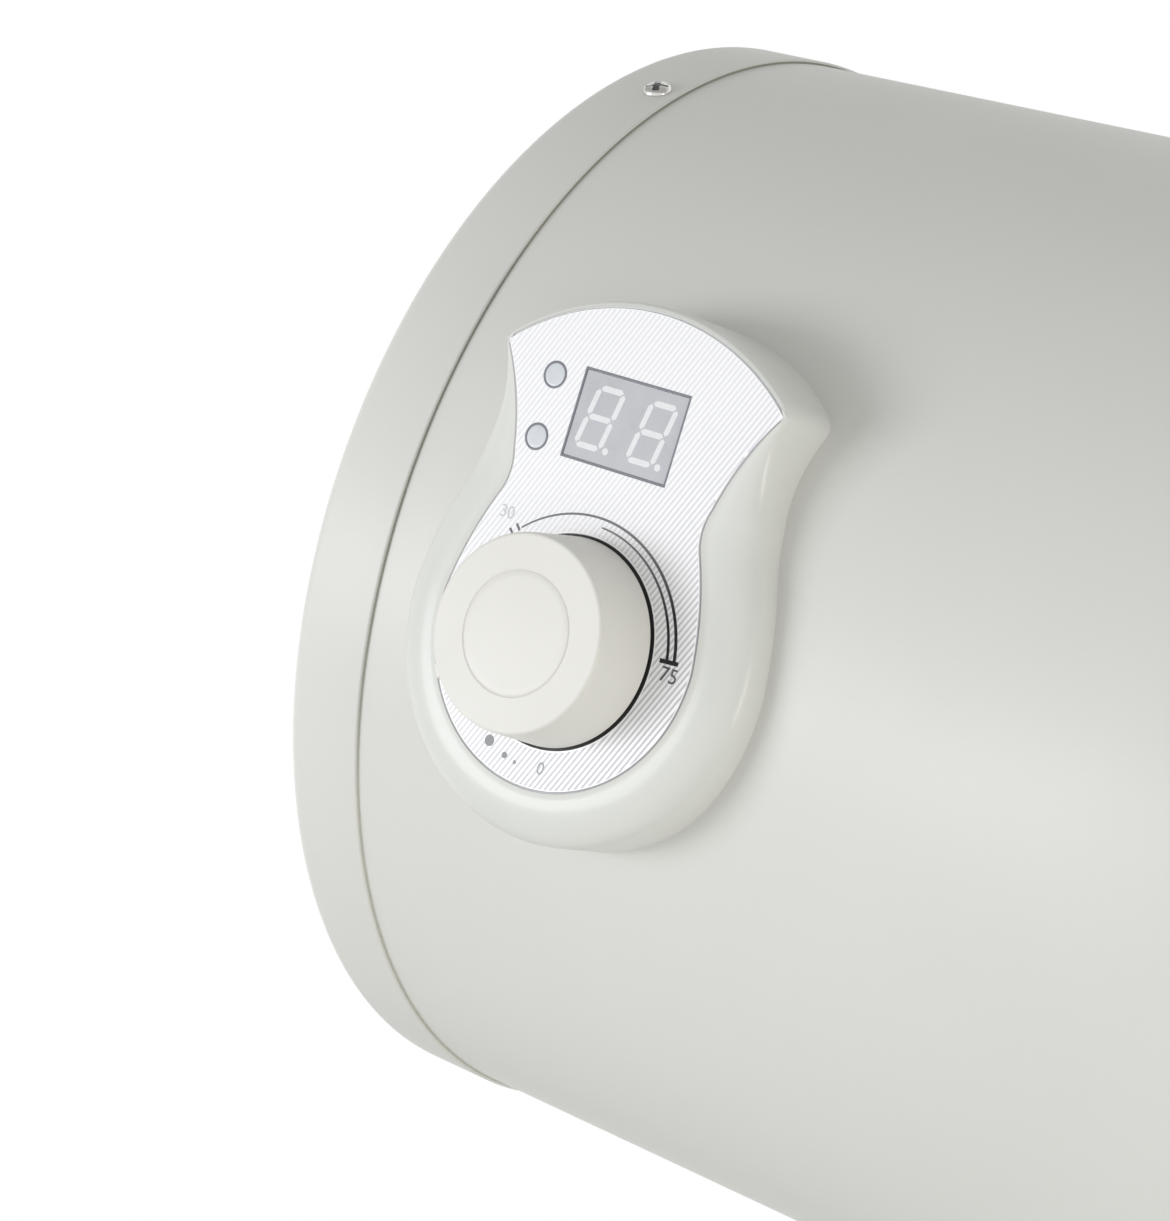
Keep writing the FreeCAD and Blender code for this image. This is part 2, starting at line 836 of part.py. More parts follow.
def block_turn():
    return FreeCAD.Placement(axis_point(left + block_from_left), FreeCAD.Rotation(X, block_angle))


def block_screw_places():
    return [(block_length / 2 + step * block_screw_pitch, row * block_screw_offset)
            for step in (-1, 0, 1) for row in side_signs]


def block_top():
    return -(shell_inside - block_height)


def block_point(along, across, rise):
    return block_turn().multVec(Vector(along, across, block_top() + rise))


def terminal_block():
    """An insulating block seated on the inside of the shell, turned about the casing's axis."""
    form = Part.makeBox(block_length, block_width, block_height,
                        Vector(0, -block_width / 2, -shell_inside))
    holes = [rod(Vector(along, across, block_top()), -Z, block_screw_depth, block_screw_radius + running_gap)
             for along, across in block_screw_places()]
    form = form.cut(holes)
    form.Placement = block_turn()
    return form.common(drum(left, right, shell_inside - slip))


def terminal_screws():
    screws = []
    for along, across in block_screw_places():
        screw = rod(Vector(along, across, block_top()), -Z, block_screw_depth, block_screw_radius)
        slot_low = Vector(along - block_screw_radius, across - block_slot_width / 2,
                          block_top() - block_slot_depth)
        screw = screw.cut(Part.makeBox(2 * block_screw_radius, block_slot_width, block_slot_depth, slot_low))
        screw.Placement = block_turn()
        screws.append(screw)
    return compound(screws)


# Leads in the bay: each ends flat on the piece that it feeds
def bay_route(route):
    return [axis_point(left + x, forward, rise) for x, forward, rise in route]


def thermostat_seat(seat):
    u, v = seat
    return panel_point(u, knob_v + v, wall_back - thermostat_depth)


def block_tap(along):
    return [block_point(along, 0.0, block_tap_rise), block_point(along, 0.0, 0.0)]


def power_wires():
    left_pin = flange_point(-element_half_pitch, -element_drop, pin_end)
    right_pin = flange_point(element_half_pitch, -element_drop, pin_end)
    element_seat = thermostat_seat(element_lead_seat)
    supply_seat = thermostat_seat(supply_lead_seat)
    cutout_foot = flange_point(cutout_foot_side, cutout_lower_edge, cutout_face() + cutout_depth / 2)
    cutout_front = flange_point(cutout_front_side, cutout_front_rise, cutout_face())
    element_lead = [left_pin, left_pin - X * lead_square] + bay_route(element_lead_route)
    element_lead += [element_seat + Y * lead_square, element_seat]
    supply_lead = [supply_seat, supply_seat + Y * lead_square] + bay_route(supply_lead_route)
    supply_lead += block_tap(block_taps[0])
    block_lead = [cutout_foot, cutout_foot - Z * lead_square] + bay_route(block_lead_route)
    block_lead += block_tap(block_taps[1])
    link_lead = [right_pin, right_pin - X * link_square] + bay_route(link_lead_route)
    link_lead += [cutout_front - X * link_square, cutout_front]
    return compound([lead(points, lead_radius)
                     for points in (element_lead, supply_lead, block_lead, link_lead)])


def display_lead():
    u, v = display_lead_seat
    start = panel_point(u, v, board_back)
    points = [start, start + Y * display_lead_square] + bay_route(display_lead_route)
    return lead(points + block_tap(block_taps[2]), lead_radius)


def thermostat_capillary():
    mouth = flange_point(-pocket_offset, pocket_rise, pocket_mouth)
    bulb = rod(mouth, X, bulb_length, bulb_radius)
    end = thermostat_seat(capillary_seat)
    points = [mouth] + bay_route(capillary_route) + [end + Y * lead_square, end]
    return bulb.fuse(lead(points, capillary_radius)).removeSplitter()


# Control panel outline, from the top round to the bottom; the left side mirrors the right
def panel_outline(grow, spread, n):
    """A closed wire: the faceplate's outline grown evenly, and spread by a share of the border."""
    def moved(point, away, border):
        return (point[0] + away[0] * grow + border[0] * spread,
                point[1] + away[1] * grow + border[1] * spread)

    top = moved((0.0, face_top), (0.0, 1.0), (0.0, border_top))
    ear = moved(face_ear, away_ear, border_ear)
    side = moved(face_side, away_side, border_side)
    waist_upper = moved(face_waist_upper, away_waist_upper, border_waist_upper)
    waist = moved(face_waist, away_waist, border_waist)
    waist_lower = moved(face_waist_lower, away_waist_lower, border_waist_lower)
    flank = moved(face_flank, away_flank, border_flank)
    belly = moved(face_belly, away_belly, border_belly)
    bottom = moved((0.0, face_bottom), (0.0, -1.0), (0.0, -border_bottom))

    def place(point, side_sign):
        return panel_point(side_sign * point[0], point[1], n)

    def arc(first, middle, last):
        return Part.Arc(first, middle, last).toShape()

    edges = [arc(place(ear, -1), place(top, 1), place(ear, 1)),
             arc(place(ear, 1), place(side, 1), place(waist_upper, 1)),
             arc(place(waist_upper, 1), place(waist, 1), place(waist_lower, 1)),
             arc(place(waist_lower, 1), place(flank, 1), place(belly, 1)),
             arc(place(belly, 1), place(bottom, 1), place(belly, -1)),
             arc(place(belly, -1), place(flank, -1), place(waist_lower, -1)),
             arc(place(waist_lower, -1), place(waist, -1), place(waist_upper, -1)),
             arc(place(waist_upper, -1), place(side, -1), place(ear, -1))]
    return Part.Wire(edges)


def outline_prism(grow, spread, n0, n1):
    return Part.Face(panel_outline(grow, spread, n0)).extrude(Vector(0, n0 - n1, 0))


def bowed_form(grow, height):
    """The panel's outer form: a straight wall and a roll that flattens towards the rim round the faceplate."""
    roll = border_roll_height * height
    sections = []
    for angle in border_roll_angles:
        turn = math.radians(angle)
        spread = max(0.0, math.cos(turn)) ** border_roll_flatness
        sections.append(panel_outline(grow, spread, height - roll * (1 - math.sin(turn))))
    dome = Part.makeLoft(sections, True, False)
    return dome.fuse(outline_prism(grow, 1.0, -housing_skirt, height - roll)).removeSplitter()


def display_window(n0, n1, fit):
    half_width = display_width / 2 - fit
    half_tall = display_tall / 2 - fit
    return panel_block(display_u - half_width, display_u + half_width,
                       display_v - half_tall, display_v + half_tall, n0, n1)


def lamp_holes(n0, n1):
    return [panel_rod(lamp_u, v, n0, n1, lamp_radius + lamp_fit) for v in lamp_places.values()]


def control_housing():
    housing = bowed_form(rim_width, face_height)
    housing = housing.cut(bowed_form(rim_width - housing_wall, wall_back))
    pillars = [panel_rod(u, v, -housing_skirt, wall_back, boss_radius) for u, v in boss_places]
    pillars += [panel_rod(u, board_post_v, board_front, wall_back, post_board_radius)
                for u in board_post_places]
    housing = housing.fuse(pillars)
    cuts = [outline_prism(0.0, 0.0, face_back, face_height), drum(left, right, shell_radius + slip)]
    cuts += lamp_holes(wall_back, face_height)
    cuts.append(display_window(wall_back, face_height, 0.0))
    cuts.append(panel_rod(0.0, knob_v, well_floor, face_height, well_radius))
    cuts.append(panel_rod(0.0, knob_v, wall_back, face_height, bush_radius + running_gap))
    for u, v in boss_places:
        top = shell_line(v) + boss_screw_bite + end_gap
        cuts.append(panel_rod(u, v, -housing_skirt, top, boss_screw_radius + running_gap))
    cuts += [panel_rod(u, board_post_v, board_front, board_front + board_screw_length - board_sheet + end_gap,
                       board_screw_radius + running_gap) for u in board_post_places]
    return housing.cut(cuts)


def shell_line(v):
    """How far out of the front line the shell's surface lies at height v; it is below zero."""
    return math.sqrt(shell_radius ** 2 - v ** 2) - shell_radius


def faceplate():
    plate = outline_prism(-face_fit, 0.0, face_back, face_front)
    cuts = lamp_holes(face_back, face_height)
    cuts.append(display_window(face_back, face_height, 0.0))
    cuts.append(panel_rod(0.0, knob_v, face_back, face_height, well_radius))
    return plate.cut(cuts)


def housing_screws():
    """Screws from inside the shell into the housing's pillars; their heads follow the sheet."""
    shell = drum(left, right, shell_radius + slip).cut(drum(left, right, shell_inside))
    screws = []
    for u, v in boss_places:
        sheet_line = math.sqrt(shell_inside ** 2 - (abs(v) + boss_screw_head_radius) ** 2) - shell_radius
        head = panel_rod(u, v, sheet_line - boss_screw_head_height, shell_line(v), boss_screw_head_radius)
        head = head.common(drum(left, right, shell_inside - running_gap))
        shank_start = sheet_line - boss_screw_head_height / 2
        shank = panel_rod(u, v, shank_start, shell_line(v) + boss_screw_bite, boss_screw_radius)
        screws.append(head.fuse(shank).removeSplitter())
    return compound(screws)


# Knob and thermostat
def knob_axis_point(n):
    return panel_point(0.0, knob_v, n)


def control_knob():
    height = knob_front - knob_base
    body = Part.makeCone(knob_base_radius, knob_front_radius, height)
    front = [edge for edge in body.Edges if edge.BoundBox.ZMin > height - 1e-6]
    body = body.makeFillet(knob_edge, front)
    cavity = Part.makeCone(knob_base_radius - knob_wall, knob_front_radius - knob_wall,
                           height - knob_wall - knob_cap_sheet)
    hub_start = bush_end + end_gap - knob_base
    hub = Part.makeCylinder(knob_hub_radius, height - knob_wall - hub_start, Vector(0, 0, hub_start))
    bore = Part.makeCylinder(shaft_radius + running_gap, shaft_end + end_gap - knob_base)
    recess = Part.makeCylinder(knob_cap_radius + knob_cap_fit, knob_cap_sheet,
                               Vector(0, 0, height - knob_cap_sheet))
    reach = knob_base_radius + knob_pointer_proud
    pointer_low = face_height + knob_pointer_setback - knob_base
    pointer = Part.makeBox(reach / 2, knob_pointer_width, height - knob_pointer_setback - pointer_low,
                           Vector(reach / 2, -knob_pointer_width / 2, pointer_low))
    pointer = pointer.common(Part.makeCone(reach, reach + knob_front_radius - knob_base_radius, height))
    pointer.rotate(Vector(), Z, knob_pointer_angle)
    body = body.fuse(pointer).cut(cavity).fuse(hub).cut([bore, recess])
    body.Placement = FreeCAD.Placement(knob_axis_point(knob_base), FreeCAD.Rotation(X, 90))
    return body


def knob_cap():
    return panel_rod(0.0, knob_v, knob_front - knob_cap_sheet, knob_front, knob_cap_radius)


def thermostat_shaft():
    shaft = panel_rod(0.0, knob_v, shaft_foot, shaft_end, shaft_radius)
    flat = panel_block(-shaft_radius, shaft_radius, knob_v + shaft_radius - shaft_flat,
                       knob_v + shaft_radius, bush_end, shaft_end)
    return shaft.cut(flat)


def thermostat():
    half_width = thermostat_width / 2
    half_tall = thermostat_tall / 2
    body = panel_block(-half_width, half_width, knob_v - half_tall, knob_v + half_tall,
                       wall_back - thermostat_depth, wall_back)
    bush = panel_rod(0.0, knob_v, wall_back, bush_end, bush_radius)
    bore = panel_rod(0.0, knob_v, shaft_foot - end_gap, bush_end, shaft_radius + running_gap)
    return body.fuse(bush).cut(bore).removeSplitter()


def thermostat_nut():
    start = knob_axis_point(well_floor)
    nut = hexagon(start, -Y, bush_nut_flats, bush_nut_height)
    return nut.cut(rod(start, -Y, bush_nut_height, bush_radius + running_gap))


# Display, lamps and board
def segment_centres():
    """Centres of one digit's bars about its middle, and whether each lies flat."""
    half_wide = digit_wide / 2
    half_tall = digit_tall / 2
    flat = [(0.0, rise, True) for rise in (-half_tall, 0.0, half_tall)]
    upright = [(side * half_wide, rise * half_tall / 2, False) for side in side_signs for rise in side_signs]
    return flat + upright


def segment_bar(u, v, flat, slope, centre_u, n0, n1):
    """A bar with pointed ends, leaned by the digit's slant."""
    half = (digit_wide if flat else digit_tall / 2) / 2 - segment_gap
    edge = segment_width / 2
    outline = [(-half, 0.0), (-half + edge, edge), (half - edge, edge),
               (half, 0.0), (half - edge, -edge), (-half + edge, -edge)]
    points = []
    for along, across in outline:
        bar_u = u + (along if flat else across)
        bar_v = v + (across if flat else along)
        points.append(panel_point(centre_u + bar_u + bar_v * slope, display_v + bar_v, n0))
    return Part.Face(Part.makePolygon(points + points[:1])).extrude(Vector(0, n0 - n1, 0))


def segment_solids():
    n0 = display_face - segment_depth
    slope = math.tan(math.radians(digit_slant))
    solids = []
    for side in side_signs:
        centre_u = display_u + side * digit_pitch / 2
        for u, v, flat in segment_centres():
            solids.append(segment_bar(u, v, flat, slope, centre_u, n0, display_face))
        dot_v = -digit_tall / 2
        dot_u = centre_u + digit_wide / 2 + dot_right + dot_v * slope
        solids.append(panel_rod(dot_u, display_v + dot_v, n0, display_face, dot_radius))
    return solids


def display_module():
    return display_window(board_front, display_face, display_fit).cut(segment_solids())


def display_segments():
    return compound(segment_solids())


def display_board():
    board = panel_block(board_left, board_right, board_low, board_high, board_back, board_front)
    return board.cut([panel_rod(u, board_post_v, board_back, board_front, board_screw_radius + running_gap)
                      for u in board_post_places])


def board_screws():
    screws = []
    for u in board_post_places:
        shank_end = board_back + board_screw_length
        shank = panel_rod(u, board_post_v, board_back, shank_end, board_screw_radius)
        head = panel_rod(u, board_post_v, board_back - board_screw_head_height, board_back, board_screw_head)
        screws.append(shank.fuse(head).removeSplitter())
    return compound(screws)


def lamp_lens(v):
    height = face_front + lamp_proud - wall_back + lamp_flange_height
    lens = Part.makeCylinder(lamp_radius, height)
    top = [edge for edge in lens.Edges if edge.BoundBox.ZMin > height - 1e-6]
    lens = lens.makeFillet(lamp_dome, top)
    lens = lens.fuse(Part.makeCylinder(lamp_radius + lamp_flange, lamp_flange_height)).removeSplitter()
    start = panel_point(lamp_u, v, wall_back - lamp_flange_height)
    lens.Placement = FreeCAD.Placement(start, FreeCAD.Rotation(X, 90))
    return lens


def indicator_leds():
    top = wall_back - lamp_flange_height - led_gap
    return compound([panel_rod(lamp_u, v, board_front, top, led_radius) for v in lamp_places.values()])


# Every piece under its name
def pieces():
    shapes = {
        "outer_shell": outer_shell(),
        "left_end_cap": end_cap(left, 1),
        "right_end_cap": end_cap(right, -1),
        "left_cap_screws": cap_screws(left + cap_screw_inset),
        "right_cap_screws": cap_screws(right - cap_screw_inset),
        "foam_jacket": foam_jacket(),
        "tank_barrel": tank_barrel(),
        "tank_left_head": tank_left_head(),
        "tank_right_head": tank_right_head(),
        "flange_neck": flange_neck(),
        "flange_gasket": flange_gasket(),
        "flange_plate": flange_plate(),
        "flange_bolts": flange_bolts(),
        "heating_element": heating_element(),
        "element_insulators": element_insulators(),
        "element_pins": element_pins(),
        "element_nuts": element_nuts(),
        "sensor_pockets": sensor_pockets(),
        "anode_rod": anode_rod(),
        "anode_nut": anode_nut(),
        "thermal_cutout": thermal_cutout(),
        "cutout_reset_button": cutout_reset_button(),
        "cold_inlet_pipe": cold_inlet_pipe(),
        "hot_outlet_pipe": hot_outlet_pipe(),
        "inlet_collar": pipe_collar(inlet_x),
        "outlet_collar": pipe_collar(outlet_x),
        "left_wall_bracket": wall_bracket(-1),
        "right_wall_bracket": wall_bracket(1),
        "bracket_posts": bracket_posts(),
        "post_grommets": post_grommets(),
        "cord_gland": cord_gland(),
        "gland_nut": gland_nut(),
        "terminal_block": terminal_block(),
        "terminal_screws": terminal_screws(),
        "power_wires": power_wires(),
        "display_lead": display_lead(),
        "thermostat_capillary": thermostat_capillary(),
        "thermostat": thermostat(),
        "thermostat_nut": thermostat_nut(),
        "thermostat_shaft": thermostat_shaft(),
        "control_housing": control_housing(),
        "housing_screws": housing_screws(),
        "faceplate": faceplate(),
        "control_knob": control_knob(),
        "knob_cap": knob_cap(),
        "display_module": display_module(),
        "display_segments": display_segments(),
        "display_board": display_board(),
        "board_screws": board_screws(),
        "indicator_leds": indicator_leds(),
    }
    for name, v in lamp_places.items():
        shapes[name] = lamp_lens(v)
    return shapes


def main():
    os.makedirs("parts", exist_ok=True)
    for name, shape in pieces().items():
        shape.exportStep(os.path.join("parts", name + ".step"))
        print(name, len(shape.Solids), "solids", round(shape.Volume), "mm3", "valid", shape.isValid())


main()
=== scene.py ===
"""A wall-hung electric storage water heater: the finish of its casing, control panel and fittings."""
from math import acos, atan2, cos, hypot, pi, radians, sin, sqrt, tau

import bmesh
import bpy
from mathutils import Matrix, Vector


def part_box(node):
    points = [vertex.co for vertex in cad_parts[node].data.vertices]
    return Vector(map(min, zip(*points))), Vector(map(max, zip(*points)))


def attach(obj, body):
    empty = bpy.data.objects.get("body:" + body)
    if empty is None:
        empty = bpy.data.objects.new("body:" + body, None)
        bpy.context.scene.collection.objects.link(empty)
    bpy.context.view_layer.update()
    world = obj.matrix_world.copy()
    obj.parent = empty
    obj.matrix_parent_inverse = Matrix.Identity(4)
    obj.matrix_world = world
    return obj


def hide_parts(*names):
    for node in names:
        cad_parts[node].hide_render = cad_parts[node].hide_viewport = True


scene = bpy.context.scene
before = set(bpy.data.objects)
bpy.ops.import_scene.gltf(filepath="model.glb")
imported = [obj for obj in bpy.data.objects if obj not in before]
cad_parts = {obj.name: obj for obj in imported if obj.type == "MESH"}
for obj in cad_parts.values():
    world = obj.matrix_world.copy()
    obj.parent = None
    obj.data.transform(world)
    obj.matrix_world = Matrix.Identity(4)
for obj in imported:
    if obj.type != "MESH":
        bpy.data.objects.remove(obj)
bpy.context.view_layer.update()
MM = 0.001


def span(node):
    """A CAD node's lowest and highest corner in millimetres."""
    low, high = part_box(node)
    return low / MM, high / MM


# Sizes read from the frame, in millimetres
cap_low, cap_high = span("left_end_cap")
left_rim = cap_low.x
right_rim = span("right_end_cap")[1].x
cap_skirt = cap_high.x - cap_low.x
cap_radius = (cap_high.z - cap_low.z) / 2
axis_y = (cap_low.y + cap_high.y) / 2
shell_low, shell_high = span("outer_shell")
shell_radius = (shell_high.z - shell_low.z) / 2
shell_front = axis_y - shell_radius
plate_low, plate_high = span("faceplate")
panel_x = (plate_low.x + plate_high.x) / 2
plate_front = shell_front - plate_low.y
plate_back = shell_front - plate_high.y
panel_height = shell_front - span("control_housing")[0].y
knob_low, knob_high = span("control_knob")
knob_front = shell_front - knob_low.y
knob_base = shell_front - knob_high.y
disc_low, disc_high = span("knob_cap")
knob_v = (disc_low.z + disc_high.z) / 2
disc_radius = (disc_high.x - disc_low.x) / 2
display_low, display_high = span("display_module")
display_left = display_low.x - panel_x
display_right = display_high.x - panel_x
lamps = {}
for node in ("heat_lamp_lens", "power_lamp_lens"):
    low, high = span(node)
    lamps[node] = ((low.x + high.x) / 2 - panel_x, (low.z + high.z) / 2)

# Casing
shell_wall = 0.8
shell_steps = 720
cap_sheet = 0.9
cap_corner = 3.0
dish_radius = 104.0
dish_depth = 3.0
dish_slope = 6.0
dish_lead = 1.0
dish_steps = 12
cap_steps = 288
hem_radius = 0.45
# The first and last angle of an arc, and its steps
corner_arc = (180.0, 90.0, 10)
hem_arc = (90.0, -90.0, 8)
inside_arc = (90.0, 180.0, 6)
seam_angle = 225.0
seam_width = 12.0
seam_height = 0.7
seam_lip = 1.2
seam_end_gap = 2.0
seam_step = 0.1
seam_run_in = 1.4
# A dark strip of painted shade lies in the seam between each cap's hem and the shell
seam_shade_tuck = 0.3
# Distances from where the painted seam shade tucks under the hem, and heights above the shell
seam_shade_section = ((0.0, -0.2), (0.0, 0.5), (0.45, 0.4), (0.42, 0.12), (0.52, -0.2))
casing_sharp = 40.0

# Cap screws
screw_inset = 14.7
screw_angles = (54.2, 125.8, 270.0)
screw_twist = 28.0
head_radius = 3.5
head_height = 1.7
screw_seat_share = 0.98
screw_rim_height = 0.35
screw_rim_lean = 30.0
screw_steps = 72
screw_rings = 36
screw_sharp = 50.0
crown_squash = 0.82
recess_reach = 2.7
recess_half = 0.7
recess_depth = 1.15
recess_edge = 0.12
recess_shade = 0.3
recess_lap = 0.1
recess_tip_gap = 0.15
recess_sharp = 30.0

# Panel outline, u to the right and v up; the left side mirrors the right
# Points of the faceplate, the way each goes as the outline grows, and the border's reach there
panel_corners = {
    "top": ((0.0, 57.1), (0.0, 1.0), (0.0, 0.6)),
    "ear": ((35.2, 43.8), (1.1, 0.45), (0.2, 0.4)),
    "side": ((29.2, 33.3), (0.92, -0.4), (4.4, 0.2)),
    "waist_upper": ((25.5, 22.2), (0.98, -0.2), (9.5, 0.0)),
    "waist": ((24.7, 17.0), (1.0, 0.0), (11.4, 0.0)),
    "waist_lower": ((26.1, 11.9), (0.95, 0.3), (11.5, 0.0)),
    "flank": ((29.8, 1.5), (0.97, 0.22), (11.0, 0.0)),
    "belly": ((32.1, -10.3), (1.0, 0.07), (10.4, 0.0)),
    "bottom": ((0.0, -43.8), (0.0, -1.0), (0.0, -10.0)),
}
right_arcs = (("ear", "side", "waist_upper", 28), ("waist_upper", "waist", "waist_lower", 12),
              ("waist_lower", "flank", "belly", 20))
top_steps = 72
bottom_steps = 80
ear_reach = 3

# Panel housing
rim_width = 1.2
roll_height = 0.65
roll_flatness = 0.82
roll_angles = range(0, 91, 5)
housing_wall = 2.2
housing_sharp = 38.0
foot_sink = 0.3
edge_round = 0.7
inner_spread = 0.6
rim_bead = 0.05
# Shares of the way from the groove to the rim, and of the bead's height
rim_bead_rows = ((0.75, 0.7), (0.5, 1.0), (0.25, 0.5), (0.1, -1.0))
rim_drop = 0.08
plate_clearance = 0.02
groove_width = 0.3
groove_depth = 0.35
# How far the outline grows, and heights over the plate's front
gap_section = ((groove_width, -groove_depth), (groove_width, -0.33), (0.05, -0.33), (0.05, -0.01),
               (-0.03, 0.012), (-0.03, plate_back - plate_front))

# Faceplate print, in angles round the knob from the right, counter-clockwise
print_height = 0.04
hatch_height = 0.03
hatch_pitch = 1.06
hatch_line = 0.46
hatch_normal = -25.5
hatch_margin = 0.35
hatch_reach = 70
well_radius = 22.5
well_steps = 160
dial_shift = (0.35, -0.95)
# The radius of an arc, its first and last width, and its start
dial_arcs = ((27.55, (0.36, 0.74), 131.4), (25.8, (0.34, 0.68), 87.6))
arc_high = 9.4
arc_step = 2
high_bar = (24.1, 28.6, 0.9)
high_bar_slant = -5.0
high_bar_lift = 0.01
low_ticks = (132.9, 136.7)
low_tick = (27.2, 28.9, 0.55)
off_dots = ((247.6, 26.3, 1.2), (258.4, 26.6, 0.68), (264.8, 26.8, 0.42))
dot_steps = 40

# Knob sizes
knob_base_radius = 21.9
knob_front_radius = 20.55
knob_edge = 0.7
knob_edge_arc = (85.0, 0.0, 10)
knob_edge_lead = 0.2
knob_chamfer = 0.3
knob_wall = 2.4
knob_rows = 8
knob_steps = 192
# Depths below the knob's front, and distances beyond the disc's edge
knob_seat_rows = ((0.0, 0.45), (0.0, 0.3), (0.11, 0.15), (0.16, 0.05), (0.16, -1.0), (0.86, -1.2))
knob_crown = 4.0
pointer_angle = 217.0
pointer_width = 3.6
pointer_proud = 1.3
pointer_setback = 1.2
pointer_root = 3.0
pointer_taper = 0.6
# Distances from the pointer's ends, and how far it draws in there
pointer_start_rows = ((0.0, 0.5), (0.5, 0.12), (0.9, 0.0))
pointer_stop_rows = ((-0.9, 0.0), (-0.4, 0.15), (0.0, 0.55))
pointer_corner = ((0.45, 0.0), (0.12, 0.12), (0.0, 0.5))
disc_thick = 1.1
disc_draft = 0.05
disc_edge = 0.35
disc_edge_arc = (80.0, 10.0, 5)
disc_crown = 0.1
disc_sink = 0.02
disc_shares = (0.9, 0.7, 0.5, 0.3, 0.1, 0.0)
disc_steps = 160
# A dark ring of painted shade under the knob: heights over the plate's back, and gaps inside the well
well_shade_heights = (-0.5, -0.5, 0.25, 0.3)
well_shade_gaps = (0.05, 0.1)

# Display and lamps
display_v = 33.1
display_tall = 18.4
# The dark line round the display's window is painted shade
display_shade_width = 0.45
display_shade_lap = 0.02
display_shade_heights = (-0.3, 0.05)
lamp_radius = 2.5
lamp_shade_ring = 0.44
lamp_crown = 0.05
lamp_crown_power = 0.6
lens_depth = 3.6
lens_proud = 0.05
lens_back_gap = 0.15
lens_gap = 0.1
lens_angles = (15, 30, 45, 60, 75, 90)
# The dark ring round each lamp is painted shade of the gap round its lens
# Heights over the plate, and distances beyond the lamp's edge
ring_section = ((-0.5, -0.1), (0.08, -0.08), (0.12, 0.176), (0.05, lamp_shade_ring), (-0.5, lamp_shade_ring))
ring_sharp = 50.0
lamp_steps = 64

# Water pipes
thread_pitch = 1.814
thread_length = 20.0
thread_depth = 1.1
thread_gap = 0.17
thread_fade = 2.5
thread_rows = 8
pipe_lead_in = 1.4
pipe_lead_slope = 0.75
pipe_shoulder = 0.5
pipe_bore = 7.5
pipe_steps = 64
pipe_sharp = 50.0


def panel_point(u, v, n):
    return Vector((panel_x + u, shell_front - n, v))


def shell_line(v):
    """How far the shell's surface lies behind its front line at height v."""
    return shell_radius - sqrt(shell_radius ** 2 - v ** 2)


def near_turn(turn):
    """An angle brought to within half a turn either way."""
    return (turn + pi) % tau - pi


def clamped(share):
    return min(1.0, max(0.0, share))


def eased(share):
    """A share held between nothing and one, slowed at both ends."""
    share = clamped(share)
    return share * share * (3 - 2 * share)


# Mesh building
merge_gap = 0.001
tip_radius = 1e-6


def plain_mesh(bm, name, sharp):
    """A shape in millimetres made into a smooth mesh in metres, sharp beyond an angle."""
    bmesh.ops.recalc_face_normals(bm, faces=bm.faces)
    bmesh.ops.scale(bm, vec=(MM, MM, MM), verts=bm.verts)
    mesh = bpy.data.meshes.new(name)
    bm.to_mesh(mesh)
    bm.free()
    mesh.shade_smooth()
    mesh.set_sharp_from_angle(angle=radians(sharp))
    return mesh


def new_object(name, data):
    """A new object in the scene."""
    thing = bpy.data.objects.new(name, data)
    scene.collection.objects.link(thing)
    return thing


def baked_mesh(thing):
    """The mesh that an object comes to; the object itself goes."""
    graph = bpy.context.evaluated_depsgraph_get()
    mesh = bpy.data.meshes.new_from_object(thing.evaluated_get(graph), depsgraph=graph)
    thing.modifiers.clear()
    bpy.data.objects.remove(thing)
    return mesh


def place_mesh(mesh, name, finish, body="heater", stands_for=None, slot=None):
    """Makes a mesh into a piece on its body with its finish; the slot argument is not used."""
    mesh.materials.clear()
    mesh.materials.append(finishes[finish])
    piece = new_object(name, mesh)
    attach(piece, body)
    if stands_for:
        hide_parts(stands_for)


def finish_mesh(bm, name, finish, sharp=32.0, **place):
    """Turns a shape in millimetres into a piece, placed as place_mesh says."""
    bmesh.ops.remove_doubles(bm, verts=bm.verts, dist=merge_gap)
    place_mesh(plain_mesh(bm, name, sharp), name, finish, **place)


def add_loops(bm, loops, ring=False, start_cap=False, end_cap=False):
    """Skins a row of closed loops with equal counts; a loop of one point is a tip."""
    rows = [[bm.verts.new(point) for point in loop] for loop in loops]
    pairs = list(zip(rows, rows[1:]))
    if ring:
        pairs.append((rows[-1], rows[0]))
    for first, second in pairs:
        count = max(len(first), len(second))
        for k in range(count):
            after = (k + 1) % count
            if len(first) == 1:
                bm.faces.new((first[0], second[after], second[k]))
            elif len(second) == 1:
                bm.faces.new((first[k], first[after], second[0]))
            else:
                bm.faces.new((first[k], first[after], second[after], second[k]))
    if start_cap:
        bm.faces.new(rows[0])
    if end_cap:
        bm.faces.new(rows[-1])


def skinned(loops, **ends):
    """A new shape of skinned loops."""
    bm = bmesh.new()
    add_loops(bm, loops, **ends)
    return bm


def turned_loops(profile, origin, along, across, steps, reach=None):
    """Loops of a profile of (distance along, radius) turned about an axis."""
    along = Vector(along)
    across = Vector(across)
    up = along.cross(across)
    loops = []
    for distance, radius in profile:
        centre = origin + along * distance
        if radius < tip_radius:
            loops.append([centre])
            continue
        loop = []
        for k in range(steps):
            turn = tau * k / steps
            r = reach(distance, radius, turn) if reach else radius
            loop.append(centre + (across * cos(turn) + up * sin(turn)) * r)
        loops.append(loop)
    return loops


def rectangle(left, right, low, high):
    return ((left, low), (right, low), (right, high), (left, high))


def around(u, v, radius, turns):
    """Points round a centre at angles in radians."""
    return [(u + radius * cos(turn), v + radius * sin(turn)) for turn in turns]


def arc_points(centre, radius, start, end, count):
    turns = [radians(start + (end - start) * k / count) for k in range(count + 1)]
    return around(*centre, radius, turns)


def circle_points(u, v, radius, count=96):
    return around(u, v, radius, [tau * k / count for k in range(count)])


